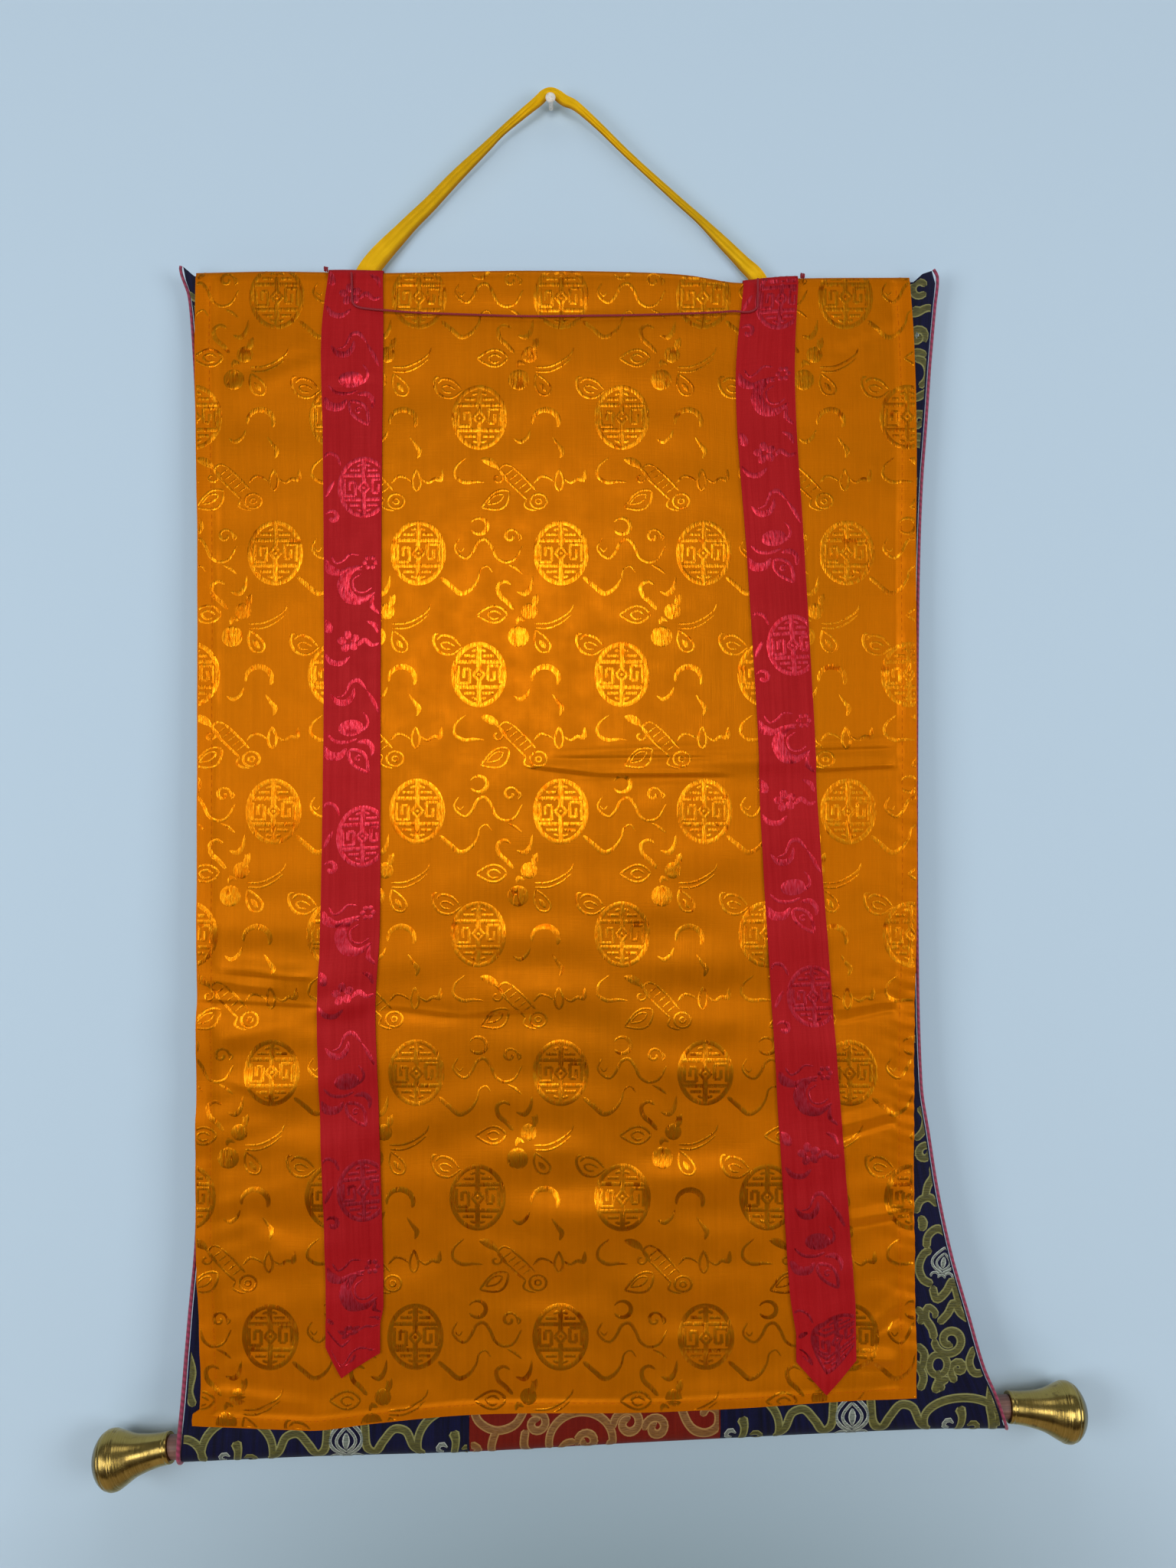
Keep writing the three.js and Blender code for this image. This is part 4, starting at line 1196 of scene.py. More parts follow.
def add_door_panel():
    """The red panel let into the mount's foot, with a narrow slit round it."""
    slit = GAP / (DOOR_RIGHT - DOOR_LEFT)
    rows = mount_rows(DOOR_ROW)
    rows[0] += GAP / DOOR_HEIGHT * (1 - DOOR_ROW)
    columns = np.linspace(1 + slit, 2 - slit, 21)
    surface = mount_place(columns[None], rows[:, None])
    slots = np.zeros((len(rows) - 1, len(columns) - 1), int)
    mesh = cloth_mesh("door", surface, MOUNT_THICK, cloth_places(surface), None, (slots, 1))
    return add_piece("door", mesh, [brick_satin(), LINING], ["door_panel"])


PIPING_RADIUS = 1.0
PIPING_FOOT_RADIUS = {"left": 1.4, "right": 1.0}
PIPING_FOOT_FROM = 700.0
PIPING_GAP = 0.4
PIPING_LAST_ROW = 1.3
PIPING_SPANS = [(0, 0.06, 0.002), (0.06, 1, 0.003), (1, PIPING_LAST_ROW, 0.012)]  # rows, and their step


def add_piping(side, material):
    """The crimson edging that runs down a side of the mount and round the front of the sleeve's end."""
    outward = {"left": -1, "right": 1}[side]
    rows = np.concatenate([*(spaced(*span)[:-1] for span in PIPING_SPANS), [PIPING_LAST_ROW]])
    edge = mount_place({"left": 0.0, "right": 3.0}[side], rows)
    share = smoothstep(-edge[:, 2], PIPING_FOOT_FROM, ROD.columns["drop"][0])
    radius = lerp(PIPING_RADIUS, PIPING_FOOT_RADIUS[side], share)[:, None]
    along = unit(np.gradient(edge, axis=0))
    across = unit(np.array([1.0, 0, 0]) - along * along[:, :1])
    through = np.cross(along, across)
    middle = edge + across * outward * (radius + PIPING_GAP) + through * (radius - MOUNT_THICK / 2)
    mesh = swept_mesh(f"{side} piping", middle, across * radius, through * radius, round_section(14))
    return add_piece(f"{side}_piping", mesh, [material], [f"piping_{side}"])


# ---- the veil

VEIL_THICK, VEIL_HEM_THICK = 0.6, 1.3
VEIL_EDGE = 0.6  # how far in from an edge the next line of the mesh is
VEIL_COLUMN_STEP, VEIL_FINE_COLUMN_STEP = 5, 2.4
VEIL_SMOOTH_STEP, VEIL_ROW_STEP, VEIL_FINE_ROW_STEP = 3.5, 2.5, 0.8
VEIL_SMOOTH_TO = 410  # down to here the silk hangs smooth
VEIL_FINE_BANDS = [(420, 456), (568, 612), (656, 688), (722, 742), (778, 830)]  # drops with creases
VEIL_FINE_MARGIN = 56.0  # beside the right edge, where the silk is most creased
HEM_LINES = 4
FOLDED_ROWS = np.arange(-10, 0) / 10  # a hung cloth's rows behind its fold line


def hung_drop(x, row):
    """The drop of a row of the veil's front at a place across it."""
    top = VEIL_TOP.read("drop", "x", x) + TOP_TURN
    return lerp(top, VEIL_FOOT.read("drop", "x", x), np.maximum(row, 0))


def veil_sides(row):
    """Where the veil's two side edges are at a row."""
    ends = zip(("left", "right"), VEIL_FOOT.columns["x"][[0, -1]])
    return [VEIL_SIDES.read(side, "drop", hung_drop(x, row)) for side, x in ends]


def veil_lines():
    """The columns and rows of the veil's mesh. Its outer four columns and last four rows are the hems'."""
    width = VEIL_SIDES.columns["right"][0] - VEIL_SIDES.columns["left"][0]
    hem, edge = VEIL_HEMS["side"] / width, VEIL_EDGE / width
    fine_from = 1 - VEIL_FINE_MARGIN / width
    left = spaced(hem + edge, fine_from, VEIL_COLUMN_STEP / width)
    right = spaced(fine_from, 1 - hem - edge, VEIL_FINE_COLUMN_STEP / width)[1:]
    columns = np.concatenate([[0, edge, hem / 2, hem], left, right, [1 - hem, 1 - hem / 2, 1 - edge, 1]])
    start, foot = hung_drop(0.0, 0), hung_drop(0.0, 1)
    hem_top = foot - VEIL_HEMS["foot"]
    smooth = spaced(start, VEIL_SMOOTH_TO, VEIL_SMOOTH_STEP)[:-1]
    coarse = np.concatenate([smooth, spaced(VEIL_SMOOTH_TO, hem_top - VEIL_EDGE, VEIL_ROW_STEP)])
    coarse = coarse[[not any(a < drop < b for a, b in VEIL_FINE_BANDS) for drop in coarse]]
    fine = np.concatenate([spaced(a, b, VEIL_FINE_ROW_STEP) for a, b in VEIL_FINE_BANDS])
    hem_drops = [hem_top, (hem_top + foot) / 2, foot - VEIL_EDGE, foot]
    drops = np.sort(np.concatenate([coarse, fine, hem_drops]))
    rows = np.concatenate([FOLDED_ROWS, (drops - start) / (foot - start)])
    return columns, rows


def veil_cloth():
    """The veil's cloth, and which of its grid's columns and rows lie in a hem."""
    columns, rows = veil_lines()
    left, right = (side[:, None] for side in veil_sides(rows))
    surface = hung(lerp(left, right, columns[None]), rows[:, None])
    in_hem = np.zeros(surface.shape[:2], bool)
    in_hem[rows >= 0] = True
    inner_columns = np.arange(HEM_LINES, len(columns) - HEM_LINES)
    in_hem[np.ix_(rows < rows[-HEM_LINES], inner_columns)] = False
    thick = np.where(in_hem, VEIL_HEM_THICK, VEIL_THICK)
    return ClothGrid(columns, rows, surface, thick), in_hem


VEIL, VEIL_IN_HEM = veil_cloth()


def on_veil(x, drop, lift):
    """Places on the veil's front."""
    row = veil_row(x, drop)
    left, right = veil_sides(row)
    return VEIL.point((x - left) / (right - left), row, lift)


def add_veil():
    upper, lower = VEIL_IN_HEM[:-1], VEIL_IN_HEM[1:]
    slots = (upper[:, :-1] & upper[:, 1:] & lower[:, :-1] & lower[:, 1:]).astype(int)
    places = cloth_places(VEIL.surface)
    mesh = cloth_mesh("veil", VEIL.surface, VEIL.thick, places, None, (slots, 0))
    return add_piece("veil", mesh, [orange_silk(), hem_silk()], ["veil"])


# ---- the hems' stitches

STITCH = {"Pitch": 5.0 * MM, "Length": 3.3 * MM, "Thickness": 0.4 * MM}
STITCH_UNEVENNESS = (0.8, 1.1)
STITCH_SEED = 11
STITCH_LIFT = 0.12
STITCH_INSIDE_HEM = 1.4  # how far a seam is from the hem's inner edge
SEAM_ROWS = np.linspace(0.01, 0.985, 240)


def stitch_nodes():
    """Short stitches of thread laid end to end along a seam, each a little longer or shorter."""
    tree = bpy.data.node_groups.new("running stitches", "GeometryNodeTree")
    sockets = {"Seam": "NodeSocketGeometry", **{name: FLOAT for name in STITCH}}
    sockets.update({"Seed": "NodeSocketInt", "Thread": "NodeSocketMaterial"})
    for name, kind in sockets.items():
        tree.interface.new_socket(name, in_out="INPUT", socket_type=kind)
    tree.interface.new_socket("Stitches", in_out="OUTPUT", socket_type="NodeSocketGeometry")
    given = tree.nodes.new("NodeGroupInput").outputs
    seam = node(tree, "GeometryNodeMeshToCurve", {"Mesh": given["Seam"]}).outputs["Curve"]
    places = node(
        tree, "GeometryNodeCurveToPoints", {"Curve": seam, "Length": given["Pitch"]}, mode="LENGTH"
    ).outputs
    inputs = {2: STITCH_UNEVENNESS[0], 3: STITCH_UNEVENNESS[1], "Seed": given["Seed"]}
    chance = node(tree, "FunctionNodeRandomValue", inputs).outputs[1]
    length = maths(tree, "MULTIPLY", given["Length"], chance)
    size = {"X": length, "Y": given["Thickness"], "Z": given["Thickness"]}
    size = node(tree, "ShaderNodeCombineXYZ", size).outputs[0]
    turn = node(tree, "FunctionNodeAlignRotationToVector", {"Vector": places["Tangent"]}, axis="X")
    bead = node(tree, "GeometryNodeMeshUVSphere", {"Segments": 8, "Rings": 5, "Radius": 0.5})
    inputs = {
        "Points": places["Points"],
        "Instance": bead.outputs["Mesh"],
        "Rotation": turn.outputs["Rotation"],
        "Scale": size,
    }
    laid = node(tree, "GeometryNodeInstanceOnPoints", inputs).outputs["Instances"]
    real = node(tree, "GeometryNodeRealizeInstances", {"Geometry": laid}).outputs["Geometry"]
    inputs = {"Geometry": real, "Material": given["Thread"]}
    threaded = node(tree, "GeometryNodeSetMaterial", inputs).outputs["Geometry"]
    tree.links.new(threaded, tree.nodes.new("NodeGroupOutput").inputs["Stitches"])
    return tree


def hem_seams():
    """The veil's three seams, along the inner edges of its hems."""
    inside = VEIL_HEMS["side"] - STITCH_INSIDE_HEM
    left, right = veil_sides(SEAM_ROWS)
    seams = [(left + inside, hung_drop(left, SEAM_ROWS)), (right - inside, hung_drop(right, SEAM_ROWS))]
    across = np.linspace(left[-1] + inside, right[-1] - inside, 160)
    seams.append((across, VEIL_FOOT.read("drop", "x", across) - VEIL_HEMS["foot"] + STITCH_INSIDE_HEM))
    return [on_veil(x, drop, np.full(len(x), STITCH_LIFT)) for x, drop in seams]


def add_stitches():
    """The stitches of the hems' seams, as one plain mesh."""
    points, edges = [], []
    for seam in hem_seams():
        first = len(points)
        points += seam.tolist()
        edges += [(i, i + 1) for i in range(first, len(points) - 1)]
    mesh = bpy.data.meshes.new("hem seams")
    mesh.from_pydata((np.array(points) * MM).tolist(), edges, [])
    seams = link("hem seams", mesh, [])
    modifier = seams.modifiers.new("stitches", "NODES")
    modifier.node_group = stitch_nodes()
    values = {**STITCH, "Seed": STITCH_SEED, "Thread": orange_thread()}
    for socket in modifier.node_group.interface.items_tree:
        if socket.in_out == "INPUT" and socket.name in values:
            modifier[socket.identifier] = values[socket.name]
    evaluated = seams.evaluated_get(bpy.context.evaluated_depsgraph_get())
    made = bpy.data.meshes.new_from_object(evaluated)
    made.shade_smooth()
    bpy.data.objects.remove(seams)
    return add_piece("hem_stitches", made, [])


# ---- the ribbons

RIBBON_THICK = 0.7
RIBBON_ROW_STEP = 0.004


def ribbon_cloth(ribbon):
    tip = ribbon_tip_column(ribbon)
    left, right = np.linspace(0.06, tip, 9), np.linspace(tip, 0.94, 9)[1:]
    columns = np.concatenate([[0, 0.02], left, right, [0.98, 1]])
    upper = spaced(0, RIBBON_LAST_VEIL_ROW, RIBBON_ROW_STEP)
    lower = spaced(RIBBON_LAST_VEIL_ROW, 1, RIBBON_ROW_STEP)[1:]
    rows = np.concatenate([FOLDED_ROWS, upper, lower])
    surface = on_ribbon(ribbon, columns[None], rows[:, None])
    return ClothGrid(columns, rows, surface, RIBBON_THICK)


RIBBON_CLOTHS = {side: ribbon_cloth(ribbon) for side, ribbon in RIBBONS.items()}


def add_ribbon(side, material):
    cloth = RIBBON_CLOTHS[side]
    mesh = cloth_mesh(f"{side} ribbon", cloth.surface, RIBBON_THICK, cloth_places(cloth.surface))
    return add_piece(f"{side}_ribbon", mesh, [material], [f"ribbon_{side}"])


# ---- the loop, string and knots

LOOP_PLEATS, LOOP_PLEAT_DEPTH = 3, 0.22
LOOP_HALF_THICK, LOOP_THIN_EDGE = 0.7, 0.35
LOOP_BUNCHED = {"width": -0.34, "thick": 0.9}  # the change where it is twisted edge on
LOOP_NARROWS = Table("x width", (5, 1), (20, 0.8), (60, 0.72), (90, 0.84), (110, 0.95))


def loop_stations():
    """The loop's middle line, and its width, thickness and twist along it."""
    station = spaced(0, LOOP.columns["station"][-1], 0.1)
    columns = ("x", "depth", "drop", "width", "thick", "twist")
    x, depth, drop, width, thick, twist = (LOOP.read(name, "station", station) for name in columns)
    twist = np.radians(twist)
    bunched = np.sin(twist)
    width = width * (1 + LOOP_BUNCHED["width"] * bunched) * LOOP_NARROWS.straight("width", "x", x)
    return at(x, depth, drop), width, thick * (1 + LOOP_BUNCHED["thick"] * bunched), twist


def add_loop():
    """The golden yellow ribbon over the nail, doubled along its length, with soft lengthwise pleats."""
    middle, width, thick, twist = loop_stations()
    along = unit(np.gradient(middle, axis=0))
    level = unit(np.cross([0.0, 1.0, 0.0], along))
    turn = twist[:, None]
    across = level * np.cos(turn) + np.cross(along, level) * np.sin(turn)
    through = np.cross(along, across)
    face = np.linspace(-1, 1, 13)
    pleat = LOOP_PLEAT_DEPTH * np.cos(face * math.pi * LOOP_PLEATS)
    half = LOOP_HALF_THICK - LOOP_THIN_EDGE * face**6
    front = np.stack([face, half + pleat], axis=-1)
    back = np.stack([face, pleat - half], axis=-1)[::-1]
    section = np.concatenate([front, back])
    mesh = swept_mesh("loop", middle, across * width[:, None] / 2, through * thick[:, None] / 2, section)
    return add_piece("loop", mesh, [loop_satin()], ["hanging_loop"])


def add_string(material):
    """The crimson string that runs across the veil from ribbon to ribbon."""
    path = smooth_path(at(*np.array(STRING_ROUTE).T), 0.4)
    mesh = twisted_thread_mesh("string", path, STRING_DIAMETER / 2, STRING_PITCH)
    string = add_piece("string", mesh, [material], ["crimson_string"])
    return string


def add_knot(side, material):
    """A knot of a few turns of thread where a ribbon is sewn to the string."""
    angle = np.linspace(0, KNOT_TURNS * 2 * math.pi, 120)
    climb = np.linspace(-1, 1, len(angle))
    path = at(
        1.05 * climb + 0.35 * np.cos(angle / 3),
        1.1 * np.sin(angle),
        1.15 * np.cos(angle) + 0.3 * climb,
    )
    path = path + at(*KNOTS[side])
    mesh = twisted_thread_mesh(f"{side} knot", path, KNOT_THREAD_RADIUS, KNOT_PITCH, sides=9)
    return add_piece(f"{side}_knot", mesh, [material], [f"knot_{side}"])


# ---- the rod, knobs and nail

KNOB_OUTLINE = Table(
    "along radius",
    (0, 9.5),
    (1.2, 9.9),
    (4, 9.8),
    (10, 10.2),
    (17, 11.3),
    (24, 13.1),
    (30, 15.9),
    (35, 18.2),
    (37.5, 18.7),
    (40, 18.5),
    (43.5, 16.6),
    (47, 12.4),
    (49.4, 6.8),
    (50.4, 0),
)
# Each groove's place along a knob, its depth and its half width.
KNOB_GROOVES = [(2.6, 0.35, 0.5), (33.2, 0.3, 0.45), (34.6, 0.3, 0.45), (41.2, 0.35, 0.5)]
NAIL_SHANK_RADIUS, NAIL_HEAD_RADIUS, NAIL_HEAD_FROM, NAIL_HEAD_TO = 1.5, 3.3, 12.0, 14.2
ROD_UNEVENNESS, ROD_END_ROUNDING = 0.006, 0.012  # shares of its radius
ROD_UNEVEN_RATE = 37


def knob_direction(side):
    angle = math.radians(KNOB_DROOP[side])
    return np.array([{"left": -1, "right": 1}[side] * math.cos(angle), 0, -math.sin(angle)])


def rod_end(side):
    end = {"left": 0, "right": -1}[side]
    return at(ROD.columns["x"][end], ROD_DEPTH, ROD.columns["drop"][end])


def add_rod():
    """The wooden rod, a little uneven, whose ends are cut to meet the knobs squarely."""
    ends = [rod_end("left"), rod_end("right")]
    run = ends[1] - ends[0]
    along = run / np.linalg.norm(run)
    steps = np.array([0, 0.002, 0.03, *np.linspace(0.06, 0.94, 40), 0.97, 0.998, 1])
    middles = ends[0] + run * steps[:, None]
    across = np.repeat(np.cross([0.0, 1.0, 0.0], along)[None], len(steps), axis=0)
    for side, end, rows, sign in (("left", 0, [0, 1], -1), ("right", -1, [-2, -1], 1)):
        middles[end] -= knob_direction(side) * GAP
        cut = np.cross([0.0, 1.0, 0.0], knob_direction(side)) * sign
        across[rows] = cut / np.linalg.norm(np.cross(along, cut))
    at_ends = (steps == 0) | (steps == 1)
    uneven = np.sin(steps * ROD_UNEVEN_RATE)
    radius = ROD_RADIUS * (1 + ROD_UNEVENNESS * uneven - ROD_END_ROUNDING * at_ends)
    radius = radius[:, None]
    through = np.repeat(np.array([[0.0, 1.0, 0.0]]), len(steps), axis=0)
    mesh = swept_mesh("rod", middles, across * radius, through * radius, round_section(48))
    return add_piece("rod", mesh, [rod_wood()], ["rod"])


def add_knob(side, material):
    """A turned brass knob: a neck that flares to a rim, and a domed end, with grooves cut round it."""
    along = np.concatenate([spaced(0, 30, 0.4)[:-1], spaced(30, 45, 0.2)[:-1], spaced(45, 50.4, 0.18)])
    radius = KNOB_OUTLINE.read("radius", "along", along)
    for place, depth, half in KNOB_GROOVES:
        radius -= depth * np.exp(-(((along - place) / half) ** 2))
    radius[-1] = 0
    profile = np.concatenate([[(0, 0)], np.stack([along, radius], axis=-1)])
    mesh = turned_mesh(f"{side} knob", profile, rod_end(side), knob_direction(side), 96)
    return add_piece(f"{side}_knob", mesh, [material], [f"knob_{side}"])


def add_nail():
    """The wall nail, with its domed enamelled head."""
    under = NAIL_HEAD_FROM
    dome = np.linspace(0, math.pi / 2, 14)
    rim = under + 0.7
    head = np.stack([rim + (NAIL_HEAD_TO - rim) * np.sin(dome), NAIL_HEAD_RADIUS * np.cos(dome)], axis=-1)
    head[-1, 1] = 0
    shank = [(0, 0), (0, NAIL_SHANK_RADIUS), (under, NAIL_SHANK_RADIUS)]
    flange = [(under, NAIL_HEAD_RADIUS - 0.4), (under + 0.12, NAIL_HEAD_RADIUS - 0.1)]
    profile = np.concatenate([shank, flange, head])
    mesh = turned_mesh("nail", profile, np.zeros(3), (0.0, -1.0, 0.0), 64)
    return add_piece("nail", mesh, [nail_enamel()], ["wall_nail"])


# ---- figures woven into a cloth

# A figure is a list of strokes. A stroke has a path of places, across and up, and its width at each.
Stroke = namedtuple("Stroke", "path widths")
STROKE_STEP, ACROSS_STEP = 1.6, 2.6  # along a stroke, and across it
BLUNT_END = 0.45  # a stroke's width at its ends, as a share of its own
SPIRAL_END = 0.22  # where a spiral ends, as a share of its radius
THREAD_LIFT, THREAD_LAYERS, THREAD_LAYER = 0.05, 5, 0.012  # so that strokes that cross don't meet
DAMASK_CROWN, BROCADE_CROWN = 0.12, 0.3  # how far a stroke's middle stands up


def stroke_along(path, widths, blunt=True):
    """A stroke whose widths are spread evenly along its path, and which narrows at its very ends."""
    width = np.interp(np.linspace(0, 1, len(path)), np.linspace(0, 1, len(widths)), widths)
    if blunt:
        width[[0, -1]] *= BLUNT_END
    return [Stroke(path, width)]


def curve(points, *widths):
    """A smooth stroke through some places."""
    points = np.asarray(points, float)
    path = smooth_path(np.column_stack([points, np.zeros(len(points))]), STROKE_STEP)[:, :2]
    return stroke_along(path, widths)


def bars(*rows, width=1.7):
    """Straight strokes, each given as its two ends."""
    made = []
    for x, up, to_x, to_up in rows:
        path = np.linspace((x, up), (to_x, to_up), 2 + int(np.hypot(to_x - x, to_up - up) / 4))
        made.append(Stroke(path, np.full(len(path), width)))
    return made


def arc(x, up, radius_x, radius_up, start, end, *widths):
    """A stroke on part of an oval, between two angles in degrees, counted anticlockwise from its right."""
    length = math.radians(abs(end - start)) * (radius_x + radius_up) / 2
    angle = np.radians(np.linspace(start, end, max(int(length / STROKE_STEP), 5) + 1))
    path = np.stack([x + radius_x * np.cos(angle), up + radius_up * np.sin(angle)], axis=-1)
    return stroke_along(path, widths, blunt=abs(end - start) < 360)


def spiral(x, up, radius, start, turns, *widths):
    """A stroke that winds in from a radius to a point near its middle."""
    angle = np.linspace(0, turns * 2 * math.pi, max(int(abs(turns) * radius * 4 / STROKE_STEP), 8))
    reach = np.linspace(radius, radius * SPIRAL_END, len(angle))
    turned = angle + math.radians(start)
    path = np.stack([x + reach * np.cos(turned), up + reach * np.sin(turned)], axis=-1)
    return stroke_along(path, widths)


def lens(x, up, to_x, to_up, width, bend=0, power=0.5):
    """A filled oval or leaf between two ends, which a power of 0.5 rounds and 1 points."""
    share = np.linspace(0, 1, max(int(np.hypot(to_x - x, to_up - up) / STROKE_STEP), 5) + 1)
    share = 0.5 - 0.5 * np.cos(np.pi * share)
    side = np.array([-(to_up - up), to_x - x])
    straight = np.array([x, up]) + np.outer(share, (to_x - x, to_up - up))
    path = straight + np.outer(np.sin(np.pi * share), side) * bend
    return [Stroke(path, width * np.maximum(4 * share * (1 - share), 0.002) ** power)]


def leaf_outline(x, up, to_x, to_up, width, line, bend=0):
    """A leaf drawn as an outline that starts and ends at its tip."""
    share = np.linspace(0, 1, 17)
    half = width / 2 * np.sin(np.pi * share**0.8)
    run = np.array([to_x - x, to_up - up])
    side = np.array([-run[1], run[0]]) / np.linalg.norm(run)
    middle = np.array([x, up]) + np.outer(share, run) + np.outer(np.sin(np.pi * share) * bend, side)
    there = middle + side * half[:, None]
    back = middle - side * half[:, None]
    return curve(there, line) + curve(back, line)


def placed(figure, x=0, up=0, turn=0, size=1, flip=False):
    """A figure mirrored, sized, turned anticlockwise and moved."""
    cosine, sine = math.cos(math.radians(turn)), math.sin(math.radians(turn))
    scale = np.array([-size if flip else size, size])
    rotation = np.array([[cosine, sine], [-sine, cosine]])
    return [Stroke((path * scale) @ rotation + (x, up), widths * size) for path, widths in figure]


def rings_of(stroke, lift, crown):
    """The rings of a stroke's section: its places across and up, its lifts and its places on its width."""
    path, widths = stroke
    along = unit(np.gradient(path, axis=0))
    side = np.stack([-along[:, 1], along[:, 0]], axis=-1)
    share = np.linspace(-1, 1, max(int(math.ceil(widths.max() / ACROSS_STEP)) + 1, 3))
    places = path[:, None] + side[:, None] * (widths[:, None] / 2 * share)[..., None]
    lifts = lift + crown * (1 - share**2)[None] * np.minimum(widths / 1.5, 1)[:, None]
    return places, lifts, share


def figure_mesh(name, figure, place, keep_inside, crown=DAMASK_CROWN, cloth_uv=True):
    """
    The raised threads of a figure. place maps what is across, up and the lift to points, and
    keep_inside moves what is across and up to where the figure may be. Its uv map is the cloth's, or
    else each stroke's own, across and along it.
    """
    across, up, lifts, uvs, faces, count = [], [], [], [], [], 0
    for index, stroke in enumerate(figure):
        layer = THREAD_LIFT + THREAD_LAYER * (index % THREAD_LAYERS)
        places, lift, share = rings_of(stroke, layer, crown)
        kept_x, kept_up = keep_inside(places[..., 0], places[..., 1])
        inside = ((kept_x == places[..., 0]) & (kept_up == places[..., 1])).any(axis=1)
        if not inside.any():
            continue
        segments = inside[:-1] | inside[1:]
        wide = len(share)
        for s in np.nonzero(segments)[0]:
            first = count + s * wide
            for k in range(wide):
                a, b = first + k, first + (k + 1) % wide
                faces.append((a, b, b + wide, a + wide))
            if s == 0 or not segments[s - 1]:
                faces.append(tuple(range(first, first + wide))[::-1])
            if s == len(segments) - 1 or not segments[s + 1]:
                faces.append(tuple(range(first + wide, first + 2 * wide)))
        run = distances(stroke.path)[:, None]
        own = np.stack(np.broadcast_arrays((share + 1)[None] / 2, run * MM), axis=-1)
        uvs.append((places * MM if cloth_uv else own).reshape(-1, 2))
        across.append(kept_x.ravel())
        up.append(kept_up.ravel())
        lifts.append(lift.ravel())
        count += kept_x.size
    points = place(np.concatenate(across), np.concatenate(up), np.concatenate(lifts))
    mesh = mesh_of(name, points, faces, np.concatenate(uvs), sharp=40)
    return facing_out(without_loose_points(mesh))


# ---- the veil's damask

REPEAT_ACROSS, REPEAT_DOWN = 93.2, 168.5
FIRST_ROUNDEL = (-179.4, 131)  # x and drop
SECOND_ROUNDEL = (39.8, -79.5)  # from the first, across and up


def fret_roundel():
    """An oval of fretwork, the same upside down: two square meanders, a diamond and nested arcs."""
    rim = arc(0, 0, 16.6, 19.8, 0, 360, 3)
    cross_bars = bars((-15.4, 8.3, 15.4, 8.3), width=2.7)
    stem = bars((0, 9, 0, 18.9), (0, 4.6, 0, 8.2), width=3.2)
    caps = bars((-9.6, 12.2, -2.4, 12.2), (2.4, 12.2, 9.6, 12.2), width=2.2)
    caps += arc(0, 5.2, 10, 11, 62, 83, 2) + arc(0, 5.2, 10, 11, 97, 118, 2)
    meander = bars(
        (-13.6, 5.7, -13.6, -5.7),
        (-13.6, -5.7, -5.9, -5.7),
        (-5.9, -5.7, -5.9, 3.6),
        (-5.9, 3.6, -10, 3.6),
        (-10, 3.6, -10, -2.2),
        width=2.3,
    )
    diamond = bars((-3.7, 0, 0, 4.4), (0, 4.4, 3.7, 0), width=2.1)
    half = cross_bars + stem + caps + meander + diamond
    return rim + half + placed(half, turn=180) + lens(0, -1.4, 0, 1.4, 2.4)


def gourd():
    """A gourd tied round its waist, with a ribbon's tails, a leaf and its stalk."""
    return (
        lens(-27.7, -61.6, -27.7, -47.8, 13.8)
        + lens(-20.6, -43.6, -20.6, -32.8, 10.8)
        + lens(-18.8, -36.6, -15.2, -26.6, 4.4, power=1)
        + curve([(-28.8, -46.6), (-27.4, -43), (-23.6, -44.6)], 2.2, 3.4, 1.6)
        + curve([(-17, -46.4), (-8, -46), (0, -42.6), (6.6, -37.6), (8.2, -33.6)], 1.4, 1.6, 1)
        + curve([(-16.6, -49.2), (-8, -49.2), (0.4, -45.6), (6.8, -40.4)], 1.4, 1.5, 0.8)
        + curve(
            [
                (-16.4, -50.6), (-17.2, -57.2), (-14.2, -63.8), (-8.6, -64.6), (-6.6, -60.4), (-10.4, -55),
                (-16, -50.8),
            ],
            1.5,
        )
        + lens(-14.2, -56.6, -9.8, -62.6, 3.6, power=0.8)
        + leaf_outline(-35, -40, -55, -40.6, 11, 1.7)
        + curve([(-39, -40.2), (-43, -37.8), (-47.6, -40), (-44.4, -43.4), (-40.6, -42.4)], 1.6)
        + curve(
            [(-32.6, -20.6), (-36.6, -18.6), (-41, -21.4), (-40, -27.6), (-35, -32.2), (-30.8, -37)],
            1.8, 2.6, 3.2, 2.4,
        )
        + curve([(-28.6, -25.4), (-23.4, -26.8), (-19.8, -22.4), (-18.4, -15)], 1.2, 3.6, 2.4, 0.8)
        + curve([(-19.6, -36), (-17.4, -32), (-18.4, -28)], 1.2)
    )


def seed_leaf():
    """A leaf with a curled end and a second outline inside it."""
    return (
        curve(
            [(29, -61.6), (22, -66.4), (14.4, -65), (10.4, -58.8), (10.8, -53.4), (13.4, -52.8)],
            1.2, 2, 1.8,
        )
        + curve([(28, -61), (22.4, -55.4), (15.6, -54), (12.6, -56.8)], 1.2, 2, 1.6)
        + curve([(24, -61), (19, -58.4), (15.2, -59.4), (17, -62.6), (21.6, -63)], 1.4)
    )


